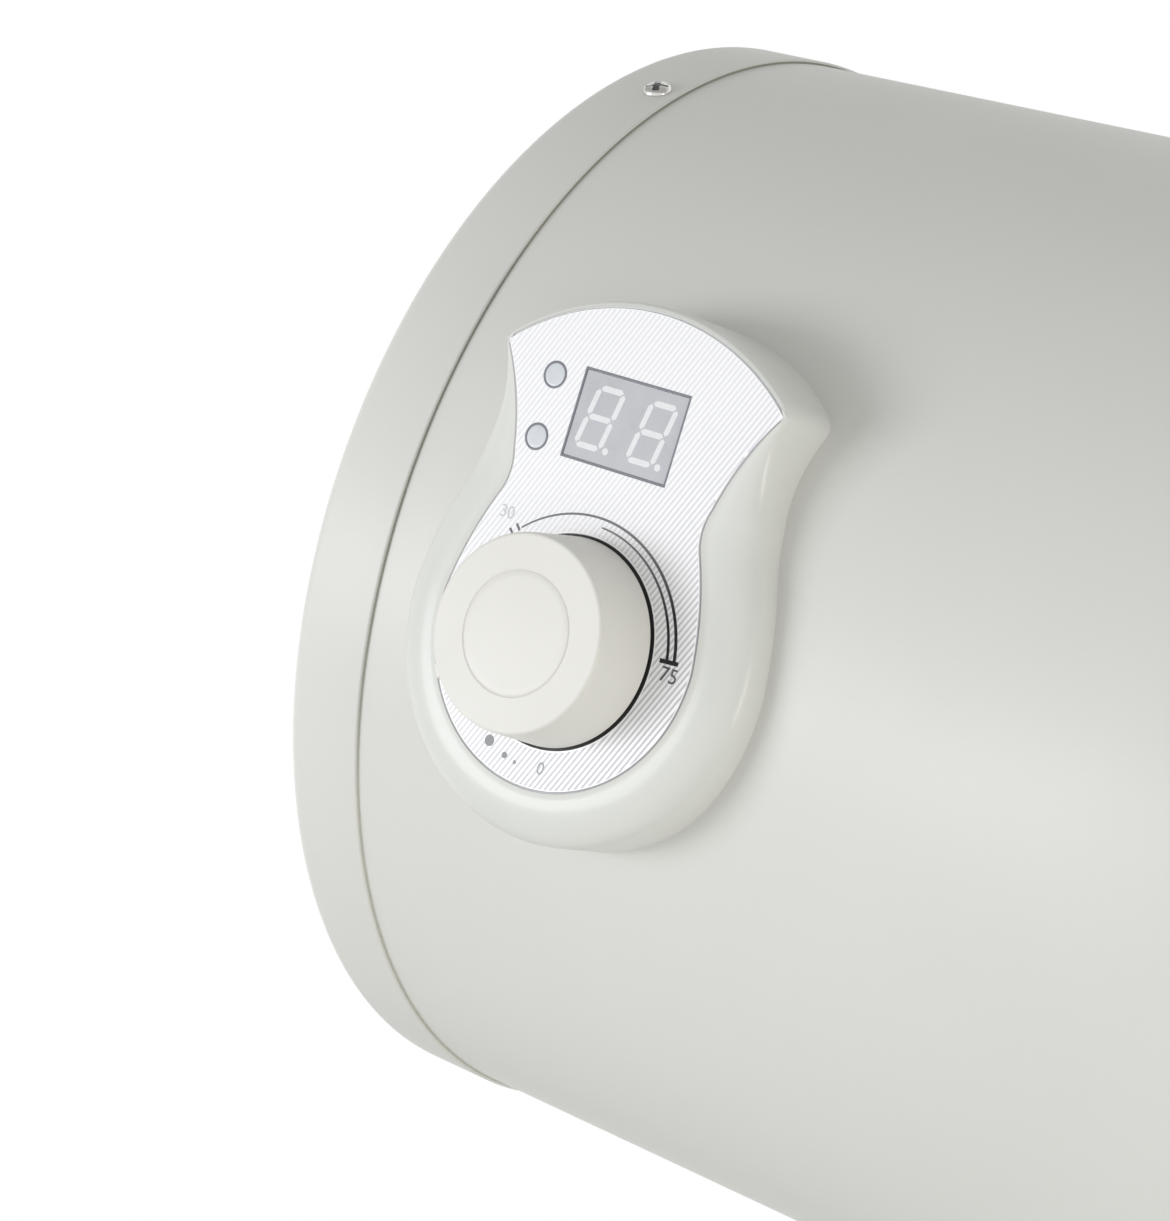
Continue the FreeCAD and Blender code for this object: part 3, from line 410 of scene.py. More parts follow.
def arc_through(first, middle, last, count):
    """Points of the arc through three points, without its last one."""
    ax, ay = first
    bx, by = middle
    cx, cy = last
    twice = 2 * (ax * (by - cy) + bx * (cy - ay) + cx * (ay - by))
    a2, b2, c2 = ax * ax + ay * ay, bx * bx + by * by, cx * cx + cy * cy
    ox = (a2 * (by - cy) + b2 * (cy - ay) + c2 * (ay - by)) / twice
    oy = (a2 * (cx - bx) + b2 * (ax - cx) + c2 * (bx - ax)) / twice
    radius = hypot(ax - ox, ay - oy)
    start = atan2(ay - oy, ax - ox)
    half = near_turn(atan2(by - oy, bx - ox) - start)
    rest = near_turn(atan2(cy - oy, cx - ox) - start - half)
    return around(ox, oy, radius, [start + (half + rest) * k / count for k in range(count)])


def panel_outline(grow, spread):
    """The faceplate's outline grown evenly, and spread by a share of the border, as (u, v) points."""
    at = {}
    for name, row in panel_corners.items():
        at[name] = tuple(p + away * grow + border * spread for p, away, border in zip(*row))

    def mirrored(point):
        return (-point[0], point[1])

    right = [(at[first], at[middle], at[last], count) for first, middle, last, count in right_arcs]
    left = [(mirrored(c), mirrored(b), mirrored(a), count) for a, b, c, count in reversed(right)]
    over = (mirrored(at["ear"]), at["top"], at["ear"], top_steps)
    under = (at["belly"], at["bottom"], mirrored(at["belly"]), bottom_steps)
    return [point for arc in (over, *right, under, *left) for point in arc_through(*arc)]


def rounded_ears(points, reach):
    """The outline with its two ear tips rounded over some points each way."""
    soft = list(points)
    for tip in (0, top_steps):
        ax, ay = points[tip - reach]
        bx, by = points[tip]
        cx, cy = points[tip + reach]
        for k in range(-reach, reach + 1):
            t = (k + reach) / (2 * reach)
            soft[tip + k] = ((1 - t) ** 2 * ax + 2 * t * (1 - t) * bx + t * t * cx,
                             (1 - t) ** 2 * ay + 2 * t * (1 - t) * by + t * t * cy)
    return soft


# Shader and geometry nodes
# Where a colour mix has its two colours and its result
mix_inputs = (6, 7)
mix_output = 2


def feed(tree, node, *fed):
    """Feeds a node's sockets with plain values, outputs, or nodes that give their first output."""
    for label, value in fed:
        socket = node.inputs[label]
        if isinstance(value, bpy.types.Node):
            value = value.outputs[0]
        if isinstance(value, bpy.types.NodeSocket):
            tree.links.new(value, socket)
        else:
            socket.default_value = (*value, 1.0) if socket.type == "RGBA" else value


def add_node(tree, kind, *fed, **settings):
    """A new node with its settings, fed as feed says."""
    node = tree.nodes.new(kind)
    for label, value in settings.items():
        setattr(node, label, value)
    feed(tree, node, *fed)
    return node


def math_node(tree, kind, first, second):
    return add_node(tree, "ShaderNodeMath", (0, first), (1, second), operation=kind)


def noise_node(tree, vector, scale, detail=3.0):
    return add_node(tree, "ShaderNodeTexNoise", ("Vector", vector), ("Scale", scale), ("Detail", detail))


def mix_node(tree, share, *colors):
    """A mix of two colours, each an output or a plain colour."""
    fed = (("Factor", share), *zip(mix_inputs, colors))
    return add_node(tree, "ShaderNodeMix", *fed, data_type="RGBA").outputs[mix_output]


def ramp_node(tree, value, low, high, kind="LINEAR"):
    fed = (("Value", value), ("From Min", low), ("From Max", high))
    return add_node(tree, "ShaderNodeMapRange", *fed, interpolation_type=kind)


def object_point(tree):
    return add_node(tree, "ShaderNodeTexCoord").outputs["Object"]


def axis_values(tree, vector):
    return add_node(tree, "ShaderNodeSeparateXYZ", ("Vector", vector)).outputs


# Shared surface effects
cloud_band = (0.32, 0.68)
cloud_share = 0.8
grain_share = 0.2
grain_detail = 5.0
streak_stretch = (4.0, 4.0, 90.0)
streak_detail = 6.0
streak_band = (0.3, 0.75)
stain_scale = 35.0
stain_detail = 4.0
stain_floor = 0.5


def new_group(name, tint, *scales):
    """A shader group that takes two colours, scales and a roughness with its spread."""
    group = bpy.data.node_groups.new(name, "ShaderNodeTree")
    takes = ("Color", tint, *scales, "Roughness", "Roughness Spread")
    for way, labels in (("INPUT", takes), ("OUTPUT", ("Color", "Roughness", "Height"))):
        for label in labels:
            kind = "NodeSocketColor" if label in ("Color", tint) else "NodeSocketFloat"
            group.interface.new_socket(label, in_out=way, socket_type=kind)
    return group, group.nodes.new("NodeGroupInput").outputs


def end_group(group, given, share, tint, uneven, height):
    """Ends a group with its colour mixed by share towards its tint, its roughness and its height."""
    color = mix_node(group, share, given["Color"], given[tint])
    spread = math_node(group, "MULTIPLY", uneven, given["Roughness Spread"])
    rough = math_node(group, "ADD", given["Roughness"], spread)
    add_node(group, "NodeGroupOutput", ("Color", color), ("Roughness", rough), ("Height", height))
    return group


def cloudy_group():
    """Cloudy shade with a fine grain, for paint, plastic and rubber."""
    group, given = new_group("cloudy_grain", "Tint", "Cloud Scale", "Grain Scale")
    point = object_point(group)
    cloud = noise_node(group, point, given["Cloud Scale"])
    grain = noise_node(group, point, given["Grain Scale"], grain_detail)
    share = ramp_node(group, cloud, *cloud_band)
    speckled = math_node(group, "ADD", math_node(group, "MULTIPLY", share, cloud_share),
                         math_node(group, "MULTIPLY", grain, grain_share))
    uneven = math_node(group, "SUBTRACT", math_node(group, "ADD", share, grain), 1.0)
    return end_group(group, given, speckled, "Tint", uneven, grain)


def drawn_group():
    """Streaks along the way that a metal was rolled or turned."""
    group, given = new_group("drawn_metal", "Streak", "Streak Scale")
    fed = (("Vector", object_point(group)), ("Scale", streak_stretch))
    stretched = add_node(group, "ShaderNodeMapping", *fed)
    lines = noise_node(group, stretched, given["Streak Scale"], streak_detail)
    stains = noise_node(group, object_point(group), stain_scale, stain_detail)
    stained = math_node(group, "MULTIPLY", lines, math_node(group, "ADD", stains, stain_floor))
    return end_group(group, given, ramp_node(group, stained, *streak_band), "Streak", stains, lines)


def cell_group():
    """Cells of slightly different shade, for zinc spangle, foam and cast metal."""
    group, given = new_group("cell_pattern", "Cell Color", "Cell Scale")
    fed = (("Vector", object_point(group)), ("Scale", given["Cell Scale"]))
    cells = add_node(group, "ShaderNodeTexVoronoi", *fed).outputs
    shade = add_node(group, "ShaderNodeSeparateColor", ("Color", cells["Color"])).outputs
    return end_group(group, given, shade["Red"], "Cell Color", shade["Green"], cells["Distance"])


def new_material(name):
    material = bpy.data.materials.new(name)
    material.use_nodes = True
    tree = material.node_tree
    shader = tree.nodes["Principled BSDF"]
    feed(tree, shader, *extra_looks.get(name, {}).items())
    return material, tree, shader


def surface(name, group, values, bump, bump_depth):
    """A material whose colour, roughness and relief come from a shared group."""
    material, tree, shader = new_material(name)
    made = add_node(tree, "ShaderNodeGroup", *enumerate(values), node_tree=group).outputs
    feed(tree, shader, ("Base Color", made["Color"]), ("Roughness", made["Roughness"]))
    if bump:
        fed = (("Strength", bump), ("Distance", bump_depth), ("Height", made["Height"]))
        feed(tree, shader, ("Normal", add_node(tree, "ShaderNodeBump", *fed)))
    return material


# Finishes: two colours, the pattern's scales, the roughness and its spread, the relief's strength and depth
moulded = (90.0, 1600.0, 0.36, 0.1, 0.15, 0.0002)
sleeve = (140.0, 2200.0, 0.45, 0.12, 0.15, 0.0002)
printed = (500.0, 5000.0, 0.45, 0.1, 0.1, 0.0001)
cloudy_finishes = {
    "casing_paint": ((0.735, 0.735, 0.705), (0.715, 0.715, 0.685), 14.0, 700.0, 0.45, 0.06, 0.05, 0.0004),
    "tank_enamel": ((0.05, 0.11, 0.16), (0.03, 0.07, 0.11), 60.0, 500.0, 0.2, 0.12, 0.1, 0.0004),
    "ceramic": ((0.85, 0.83, 0.77), (0.77, 0.74, 0.67), 150.0, 900.0, 0.3, 0.15, 0.1, 0.0003),
    "dark_rubber": ((0.028, 0.028, 0.03), (0.05, 0.05, 0.05), 120.0, 1500.0, 0.6, 0.15, 0.25, 0.0003),
    "dark_plastic": ((0.04, 0.04, 0.043), (0.06, 0.06, 0.063), 90.0, 1800.0, 0.42, 0.12, 0.2, 0.0002),
    "red_plastic": ((0.55, 0.035, 0.03), (0.45, 0.025, 0.022), *moulded),
    "blue_plastic": ((0.03, 0.12, 0.5), (0.022, 0.09, 0.4), *moulded),
    "cream_plastic": ((0.78, 0.72, 0.58), (0.7, 0.63, 0.49), 90.0, 1600.0, 0.4, 0.12, 0.15, 0.0002),
    "brown_sleeve": ((0.2, 0.09, 0.045), (0.14, 0.06, 0.03), *sleeve),
    "white_sleeve": ((0.78, 0.78, 0.76), (0.7, 0.7, 0.67), *sleeve),
    "ivory_plastic": ((0.735, 0.745, 0.715), (0.715, 0.725, 0.69), 30.0, 1500.0, 0.33, 0.05, 0.03, 0.0002),
    "knob_plastic": ((0.79, 0.78, 0.74), (0.77, 0.76, 0.715), 40.0, 1500.0, 0.36, 0.05, 0.03, 0.0002),
    "display_grey": ((0.5, 0.505, 0.54), (0.53, 0.535, 0.57), 220.0, 3000.0, 0.3, 0.08, 0.04, 0.0001),
    "segment_white": ((0.82, 0.83, 0.85), (0.77, 0.78, 0.8), 500.0, 4000.0, 0.35, 0.08, 0.04, 0.0001),
    "board_green": ((0.03, 0.16, 0.06), (0.02, 0.11, 0.04), 300.0, 2600.0, 0.4, 0.15, 0.2, 0.0002),
    "lamp_clear": ((0.63, 0.66, 0.71), (0.67, 0.7, 0.75), 400.0, 3000.0, 0.3, 0.08, 0.03, 0.0001),
    # This dark grey paints the gap shade round the display's window and the lamps
    "gap_shade_grey": ((0.16, 0.165, 0.2), (0.22, 0.225, 0.26), 300.0, 3000.0, 0.45, 0.1, 0.1, 0.0001),
    "hatched_plate": ((0.99, 0.99, 1.0), (0.98, 0.98, 0.99), 60.0, 2400.0, 0.3, 0.06, 0.0, 0.0),
    # The dark print colour also paints the shade in the screw recesses
    "print_ink_and_recess_shade": ((0.06, 0.06, 0.065), (0.09, 0.09, 0.1), *printed),
    "dot_ink": ((0.23, 0.235, 0.25), (0.28, 0.285, 0.3), *printed),
    "floor_white": ((0.86, 0.86, 0.86), (0.84, 0.84, 0.84), 8.0, 200.0, 0.7, 0.1, 0.0, 0.0),
}
drawn_finishes = {
    "bright_screw": ((0.86, 0.85, 0.83), (0.78, 0.77, 0.75), 20.0, 0.13, 0.05, 0.02, 0.0002),
    "bare_steel": ((0.52, 0.52, 0.52), (0.34, 0.33, 0.32), 20.0, 0.32, 0.2, 0.08, 0.0002),
    "copper": ((0.72, 0.38, 0.24), (0.4, 0.19, 0.12), 20.0, 0.24, 0.2, 0.08, 0.0002),
    "brass": ((0.74, 0.56, 0.25), (0.5, 0.35, 0.14), 20.0, 0.26, 0.2, 0.08, 0.0002),
}
cell_finishes = {
    "foam": ((0.83, 0.7, 0.36), (0.72, 0.57, 0.25), 420.0, 0.85, 0.1, 0.6, 0.001),
    "zinc_steel": ((0.66, 0.68, 0.69), (0.5, 0.52, 0.54), 160.0, 0.28, 0.2, 0.05, 0.0004),
    "anode_metal": ((0.55, 0.55, 0.54), (0.4, 0.4, 0.39), 260.0, 0.5, 0.2, 0.25, 0.0006),
}
extra_looks = {
    "casing_paint": {"Specular IOR Level": 0.45, "Coat Weight": 0.06, "Coat Roughness": 0.3},
    "ivory_plastic": {"Specular IOR Level": 0.3, "Coat Weight": 0.2, "Coat Roughness": 0.12},
    "knob_plastic": {"Specular IOR Level": 0.35},
    "arc_ink": {"Specular IOR Level": 0.2},
    "tank_enamel": {"Coat Weight": 0.4},
    "display_grey": {"Coat Weight": 0.3},
    "lamp_clear": {"Coat Weight": 0.2},
    "hatched_plate": {"Coat Weight": 0.1},
    "hatch_silver_and_reflection": {"Metallic": 0.1},
    "zinc_steel": {"Metallic": 1.0},
    "anode_metal": {"Metallic": 0.9},
    "seal_dark": {"Roughness": 0.6},
    **dict.fromkeys(drawn_finishes, {"Metallic": 1.0}),
}
finishes = {}
for group, rows in (
        (cloudy_group(), cloudy_finishes), (drawn_group(), drawn_finishes), (cell_group(), cell_finishes)):
    for name, (*values, bump, bump_depth) in rows.items():
        finishes[name] = surface(name, group, values, bump, bump_depth)

# Panel colours that darken from the upper left, partly painted light, and the painted seam shade
# Distances before and after the knob's axis, in metres, that a colour darkens between, and its two colours
panel_grades = {
    # The silver hatch is darker towards the lower right as a painted reflection
    "hatch_silver_and_reflection": (0.022, 0.028, (0.79, 0.79, 0.82), (0.55, 0.55, 0.59)),
    # The groove's grey is painted shade, darker on its lower right side
    "groove_shade": (0.03, 0.012, (0.8, 0.8, 0.82), (0.58, 0.58, 0.61)),
    # The arcs and faint numbers are darker towards the lower right
    "arc_ink": (0.005, 0.01, (0.2, 0.2, 0.21), (0.012, 0.012, 0.015)),
    "faint_ink": (0.02, 0.01, (0.62, 0.63, 0.65), (0.33, 0.34, 0.36)),
}
grade_way = (0.75, 0.0, -0.66)
grade_middle = (panel_x * grade_way[0] + knob_v * grade_way[2]) * MM
# A grain is the noise's scale, its detail and how much of it shows
ink_grain = (2200.0, 4.0, 0.1)
ink_rough_band = (-1.0, 2.0)
# The seam strip's painted shade is paler on its lower half, where the line is lit
seam_shade_way = (0.0, 0.0, 1.0)
seam_shade_band = (-0.06, 0.01)
seam_shade_grain = (1500.0, 5.0, 0.2)
seam_shade_colors = ((0.58, 0.58, 0.52), (0.32, 0.32, 0.27), (0.28, 0.28, 0.24))


def graded(name, way, band, colors, grain):
    """A material that goes between two colours over a band along a way, with specks of a third."""
    material, tree, shader = new_material(name)
    fed = ((0, object_point(tree)), (1, way))
    place = add_node(tree, "ShaderNodeVectorMath", *fed, operation="DOT_PRODUCT").outputs["Value"]
    shade = mix_node(tree, ramp_node(tree, place, *band), *colors[:2])
    *pattern, amount = grain
    noise = noise_node(tree, object_point(tree), *pattern)
    specks = math_node(tree, "MULTIPLY", noise, amount)
    feed(tree, shader, ("Base Color", mix_node(tree, specks, shade, colors[2])))
    if name in panel_grades:
        feed(tree, shader, ("Roughness", ramp_node(tree, noise, *ink_rough_band)))
    return material


for name, (before, after, pale, dark) in panel_grades.items():
    band = (grade_middle - before, grade_middle + after)
    finishes[name] = graded(name, grade_way, band, (pale, dark, pale), ink_grain)
finishes["seal_dark"] = graded("seal_dark", seam_shade_way, seam_shade_band, seam_shade_colors, seam_shade_grain)

# Casing shell and end caps
front_way = Vector((0.0, -1.0, 0.0))
top_way = Vector((0.0, 0.0, 1.0))
axis_start = Vector((0.0, axis_y, 0.0))


def casing_point(x, angle, radius):
    """A point round the casing's axis, at an angle up from its front."""
    turn = radians(angle)
    return axis_start + Vector((x, 0, 0)) + (front_way * cos(turn) + top_way * sin(turn)) * radius


def rim_loops(profile, rim, inward):
    """Loops of a profile of (distance from a rim, radius) turned about the casing's axis."""
    return turned_loops(profile, axis_start + Vector((rim, 0, 0)), (inward, 0, 0), front_way, cap_steps)


def casing_shell():
    """The rolled shell, with a lapped seam that stands proud between the caps."""
    inset = dish_depth + cap_sheet
    start = left_rim + inset
    end = right_rim - inset
    seam_left = left_rim + cap_skirt + seam_end_gap
    seam_right = right_rim - cap_skirt - seam_end_gap
    inside = shell_radius - shell_wall
    half_seam = seam_width / 2 / shell_radius
    lip = seam_lip / shell_radius

    def reach(x, radius, turn):
        if radius < shell_radius or not seam_left < x < seam_right:
            return radius
        off = abs(near_turn(turn - radians(seam_angle)))
        return radius + seam_height * eased((half_seam + lip - off) / lip)

    places = (start, seam_left - seam_step, seam_left + seam_run_in,
              seam_right - seam_run_in, seam_right + seam_step, end)
    profile = [(x, shell_radius) for x in places] + [(end, inside), (start, inside)]
    loops = turned_loops(profile, axis_start, (1, 0, 0), front_way, shell_steps, reach)
    finish_mesh(skinned(loops, ring=True), "casing_shell", "casing_paint", casing_sharp,
                stands_for="outer_shell")


def cap_profile():
    """The cap's section as (distance from the rim, radius): recessed end, rolled corner, hemmed skirt."""
    outer = [(dish_depth, 0.0), (dish_depth, dish_radius - dish_lead)]
    for k in range(1, dish_steps + 1):
        share = k / dish_steps
        outer.append((dish_depth * (1 - eased(share)), dish_radius + dish_slope * share))
    back = [(x + cap_sheet, r) for x, r in reversed(outer)]
    corner = (cap_corner, cap_radius - cap_corner)
    outer += arc_points(corner, cap_corner, *corner_arc)
    outer += arc_points((cap_skirt - hem_radius, cap_radius - hem_radius), hem_radius, *hem_arc)
    return outer + arc_points(corner, cap_corner - cap_sheet, *inside_arc) + back


def screw_crown(radius):
    """The height of a screw head's dome at a radius."""
    lean = acos(radius / head_radius) / crown_squash
    return head_height * sin(min(lean, pi / 2))


def cross_recess_shade_mesh():
    """A dark cross of painted shade in a screw head's cross recess, a little below the dome."""
    arm = recess_half + recess_lap
    tip = recess_reach - recess_tip_gap
    corners = []
    for dx, dy in ((1, 0), (0, 1), (-1, 0), (0, -1)):
        corners += [(dx * tip + dy * arm, dy * tip - dx * arm), (dx * tip - dy * arm, dy * tip + dx * arm),
                    ((dx - dy) * arm, (dx + dy) * arm)]
    low = head_height - recess_depth - recess_lap
    floor = [Vector((x, y, low)) for x, y in corners]
    top = [Vector((x, y, screw_crown(hypot(x, y)) - recess_shade)) for x, y in corners]
    peak = [Vector((0.0, 0.0, head_height - recess_shade))]
    return plain_mesh(skinned([floor, top, peak], start_cap=True), "cross_recess_shade", recess_sharp)


def screw_head_mesh():
    """One pan head with a cross recess, its axis on +Z and its seat at the origin."""
    def height(x, y):
        near, far = sorted((abs(x), abs(y)))
        across = clamped((recess_half + recess_edge - near) / (2 * recess_edge))
        ends = clamped((recess_reach - far) / (3 * recess_edge))
        top = screw_crown(hypot(x, y))
        return top - max(0.0, top - head_height + recess_depth) * across * ends

    profile = [(0.0, head_radius * screw_seat_share), (screw_rim_height, head_radius)]
    rings = turned_loops(profile, Vector(), (0, 0, 1), (1, 0, 0), screw_steps)
    inner = head_radius * cos(radians(screw_rim_lean * crown_squash))
    for k in range(screw_rings):
        places = circle_points(0.0, 0.0, inner * (1 - k / screw_rings), screw_steps)
        rings.append([Vector((x, y, height(x, y))) for x, y in places])
    rings.append([Vector((0, 0, height(0, 0)))])
    return plain_mesh(skinned(rings, start_cap=True), "screw_head", screw_sharp)


def repeat_tree(name, material):
    """Geometry nodes that set one shape on every point, turned to the point's outward way."""
    tree = bpy.data.node_groups.new(name, "GeometryNodeTree")
    for label, kind in (("Places", "Geometry"), ("Shape", "Object"), ("Twist", "Float")):
        tree.interface.new_socket(label, in_out="INPUT", socket_type="NodeSocket" + kind)
    tree.interface.new_socket("Result", in_out="OUTPUT", socket_type="NodeSocketGeometry")
    given = add_node(tree, "NodeGroupInput").outputs
    shape = add_node(tree, "GeometryNodeObjectInfo", ("Object", given["Shape"]))
    outward = add_node(tree, "GeometryNodeInputNamedAttribute", ("Name", "outward"), data_type="FLOAT_VECTOR")
    turn = add_node(tree, "FunctionNodeAlignRotationToVector", ("Vector", outward), axis="Z")
    spin = add_node(tree, "FunctionNodeAxisAngleToRotation", ("Axis", top_way), ("Angle", given["Twist"]))
    fed = (("Rotation", turn), ("Rotate By", spin))
    both = add_node(tree, "FunctionNodeRotateRotation", *fed, rotation_space="LOCAL")
    fed = (("Points", given["Places"]), ("Instance", shape.outputs["Geometry"]), ("Rotation", both))
    repeat = add_node(tree, "GeometryNodeInstanceOnPoints", *fed)
    real = add_node(tree, "GeometryNodeRealizeInstances", ("Geometry", repeat))
    paint = add_node(tree, "GeometryNodeSetMaterial", ("Geometry", real), ("Material", material))
    add_node(tree, "NodeGroupOutput", ("Result", paint))
    return tree


def repeated_piece(name, mesh, places, twist, finish, **place):
    """Bakes copies of a shape on places of (point, outward way) in millimetres into one piece."""
    shape = new_object(name + "_shape", mesh)
    points = bpy.data.meshes.new(name + "_places")
    points.from_pydata([point * MM for point, way in places], [], [])
    points.attributes.new("outward", "FLOAT_VECTOR", "POINT")
    for entry, (point, way) in zip(points.attributes["outward"].data, places):
        entry.vector = way
    holder = new_object(name + "_holder", points)
    tree = repeat_tree(name + "_repeat", finishes[finish])
    modifier = holder.modifiers.new("repeat", "NODES")
    modifier.node_group = tree
    settings = {"Shape": shape, "Twist": twist}
    for item in tree.interface.items_tree:
        if item.in_out == "INPUT" and item.name in settings:
            modifier[item.identifier] = settings[item.name]
    bpy.context.view_layer.update()
    baked = baked_mesh(holder)
    bpy.data.objects.remove(shape)
    if "outward" in baked.attributes:
        baked.attributes.remove(baked.attributes["outward"])
    place_mesh(baked, name, finish, **place)


def end_cap(side, rim, inward):
    """A cap, a dark strip of painted shade between its hem and the shell, and its screws with painted shade
    in their recesses.
    """
    finish_mesh(skinned(rim_loops(cap_profile(), rim, inward)), side + "_cap_cover", "casing_paint",
                casing_sharp, stands_for=side + "_end_cap")
    # The dark strip in the seam is painted shade, paler on its lower half where it is lit
    profile = [(cap_skirt - seam_shade_tuck + x, shell_radius + height) for x, height in seam_shade_section]
    loops = rim_loops(profile, rim, inward)
    finish_mesh(skinned(loops, ring=True), side + "_seam_seal", "seal_dark", slot="casing_paint")
    places = []
    for angle in screw_angles:
        way = casing_point(0.0, angle, 1.0) - casing_point(0.0, angle, 0.0)
        places.append((casing_point(rim + inward * screw_inset, angle, cap_radius), way))
    twist = radians(screw_twist)
    repeated_piece(side + "_cap_screw_heads", screw_head_mesh(), places, twist, "bright_screw",
                   stands_for=side + "_cap_screws")
    # The dark cross in each screw head is painted shade in its recess
    repeated_piece(side + "_cap_screw_recesses", cross_recess_shade_mesh(), places, twist, "print_ink_and_recess_shade",
                   slot="bright_screw")


casing_shell()
end_cap("left", left_rim, 1.0)
end_cap("right", right_rim, -1.0)


# Control panel
def panel_loop(grow, spread, n, ears=0):
    outline = panel_outline(grow, spread)
    if ears:
        outline = rounded_ears(outline, ears)
    return [panel_point(u, v, n) for u, v in outline]


def foot_loop(grow, sink):
    """The outline carried back onto the shell's curve."""
    outline = rounded_ears(panel_outline(grow, 1.0), ear_reach)
    return [panel_point(u, v, -shell_line(v) - sink) for u, v in outline]


def panel_housing():
    """A wall on the shell, a border that rolls up to a rounded edge, and a groove round the faceplate."""
    crest = plate_front - rim_drop
    wall_top = panel_height * (1 - roll_height)
    loops = [foot_loop(rim_width, foot_sink), foot_loop(rim_width, 0.0)]
    for angle in roll_angles:
        turn = radians(angle)
        spread = max(0.0, cos(turn)) ** roll_flatness
        grow = rim_width - edge_round * (1 - cos(turn)) ** 3
        loops.append(panel_loop(grow, spread, wall_top + (crest - wall_top) * sin(turn), ear_reach))
    rim = rim_width - edge_round
    for share, lift in rim_bead_rows:
        loops.append(panel_loop(groove_width + (rim - groove_width) * share, 0.0, crest + rim_bead * lift))
    floor = plate_front - groove_depth
    for grow, n in ((groove_width, floor), (0.0, floor), (0.0, plate_back - plate_clearance)):
        loops.append(panel_loop(grow, 0.0, n))
    bm = skinned(loops, end_cap=True)
    thin = rim_width - housing_wall
    inner = [foot_loop(thin, foot_sink), panel_loop(thin, 1.0, wall_top, ear_reach),
             panel_loop(thin, inner_spread, plate_back - housing_wall, ear_reach)]
    add_loops(bm, inner, end_cap=True)
    add_loops(bm, [inner[0], loops[0]])
    finish_mesh(bm, "panel_housing", "ivory_plastic", housing_sharp, stands_for="control_housing")


def plate_gap():
    """The groove round the faceplate, its floor and the plate's edge above it, grey with painted shade."""
    loops = [panel_loop(grow, 0.0, plate_front + height) for grow, height in gap_section]
    finish_mesh(skinned(loops, ring=True), "plate_gap", "groove_shade", slot="ivory_plastic")


def display_corners(margin):
    half = display_tall / 2 + margin
    return rectangle(display_left - margin, display_right + margin, display_v - half, display_v + half)


def crossings(loops, along, normal, offset):
    """Where a line crosses the loops, as sorted distances along it."""
    found = []
    for loop in loops:
        for (ax, ay), (bx, by) in zip(loop, loop[1:] + loop[:1]):
            a = ax * normal[0] + ay * normal[1] - offset
            b = bx * normal[0] + by * normal[1] - offset
            if (a < 0) != (b < 0):
                share = a / (a - b)
                x = ax + (bx - ax) * share
                y = ay + (by - ay) * share
                found.append(x * along[0] + y * along[1])
    return sorted(found)


def add_flat(bm, corners, height):
    """A thin closed slab of an outline on the faceplate."""
    loops = [[panel_point(u, v, n) for u, v in corners] for n in (plate_front, plate_front + height)]
    add_loops(bm, loops, start_cap=True, end_cap=True)


def plate_hatch():
    """Fine silver lines with a painted reflection, ended at the plate's outline, window, lamps and knob well.
    """
    turn = radians(hatch_normal)
    normal = (cos(turn), sin(turn))
    along = (-normal[1], normal[0])
    loops = [panel_outline(-hatch_margin, 0.0), display_corners(display_shade_width),
             circle_points(0.0, knob_v, well_radius + hatch_margin, well_steps)]
    loops += [circle_points(u, v, lamp_radius + lamp_shade_ring) for u, v in lamps.values()]
    bm = bmesh.new()
    count = int(hatch_reach / hatch_pitch)
    for k in range(-count, count + 1):
        sides = [k * hatch_pitch + way * hatch_line / 2 for way in (-1, 1)]
        edges = [crossings(loops, along, normal, offset) for offset in sides]
        if len(edges[0]) != len(edges[1]):
            edges = [crossings(loops, along, normal, k * hatch_pitch)] * 2
        for j in range(0, len(edges[0]) - 1, 2):
            ends = ((0, j), (0, j + 1), (1, j + 1), (1, j))
            corners = [(normal[0] * sides[i] + along[0] * edges[i][end],
                        normal[1] * sides[i] + along[1] * edges[i][end]) for i, end in ends]
            add_flat(bm, corners, hatch_height)
    finish_mesh(bm, "plate_hatch", "hatch_silver_and_reflection", slot="hatched_plate")


dial_u = dial_shift[0]
dial_v = knob_v + dial_shift[1]


def add_band(bm, radius, lines, start, end):
    """A printed arc round the knob whose line grows from its first to its second width."""
    steps = max(2, int(abs(end - start) / arc_step))
    loops = []
    for k in range(steps + 1):
        share = k / steps
        turn = radians(start + (end - start) * share)
        half = (lines[0] + (lines[1] - lines[0]) * share) / 2
        section = rectangle(radius - half, radius + half, plate_front, plate_front + print_height)
        loops.append([panel_point(dial_u + r * cos(turn), dial_v + r * sin(turn), n) for r, n in section])
    add_loops(bm, loops, start_cap=True, end_cap=True)


def radial_bar(angle, inner, outer, width, slant=0.0):
    """A bar that points out from the dial's middle, turned about its own middle by a slant."""
    turn = radians(angle)
    lean = turn + radians(slant)
    middle = (inner + outer) / 2
    corners = rectangle(inner - middle, outer - middle, -width / 2, width / 2)
    return [(dial_u + middle * cos(turn) + r * cos(lean) - s * sin(lean),
             dial_v + middle * sin(turn) + r * sin(lean) + s * cos(lean)) for r, s in corners]


def dial_marks():
    bm = bmesh.new()
    for arc in dial_arcs:
        add_band(bm, *arc, arc_high)
    add_flat(bm, radial_bar(arc_high, *high_bar, high_bar_slant), print_height + high_bar_lift)
    for angle in low_ticks:
        add_flat(bm, radial_bar(angle, *low_tick), print_height)
    finish_mesh(bm, "dial_arcs", "arc_ink", slot="hatched_plate")
    bm = bmesh.new()
    for angle, radius, size in off_dots:
        turn = radians(angle)
        dot = circle_points(radius * cos(turn), knob_v + radius * sin(turn), size, dot_steps)
        add_flat(bm, dot, print_height)
    finish_mesh(bm, "dial_dots", "dot_ink", slot="hatched_plate")


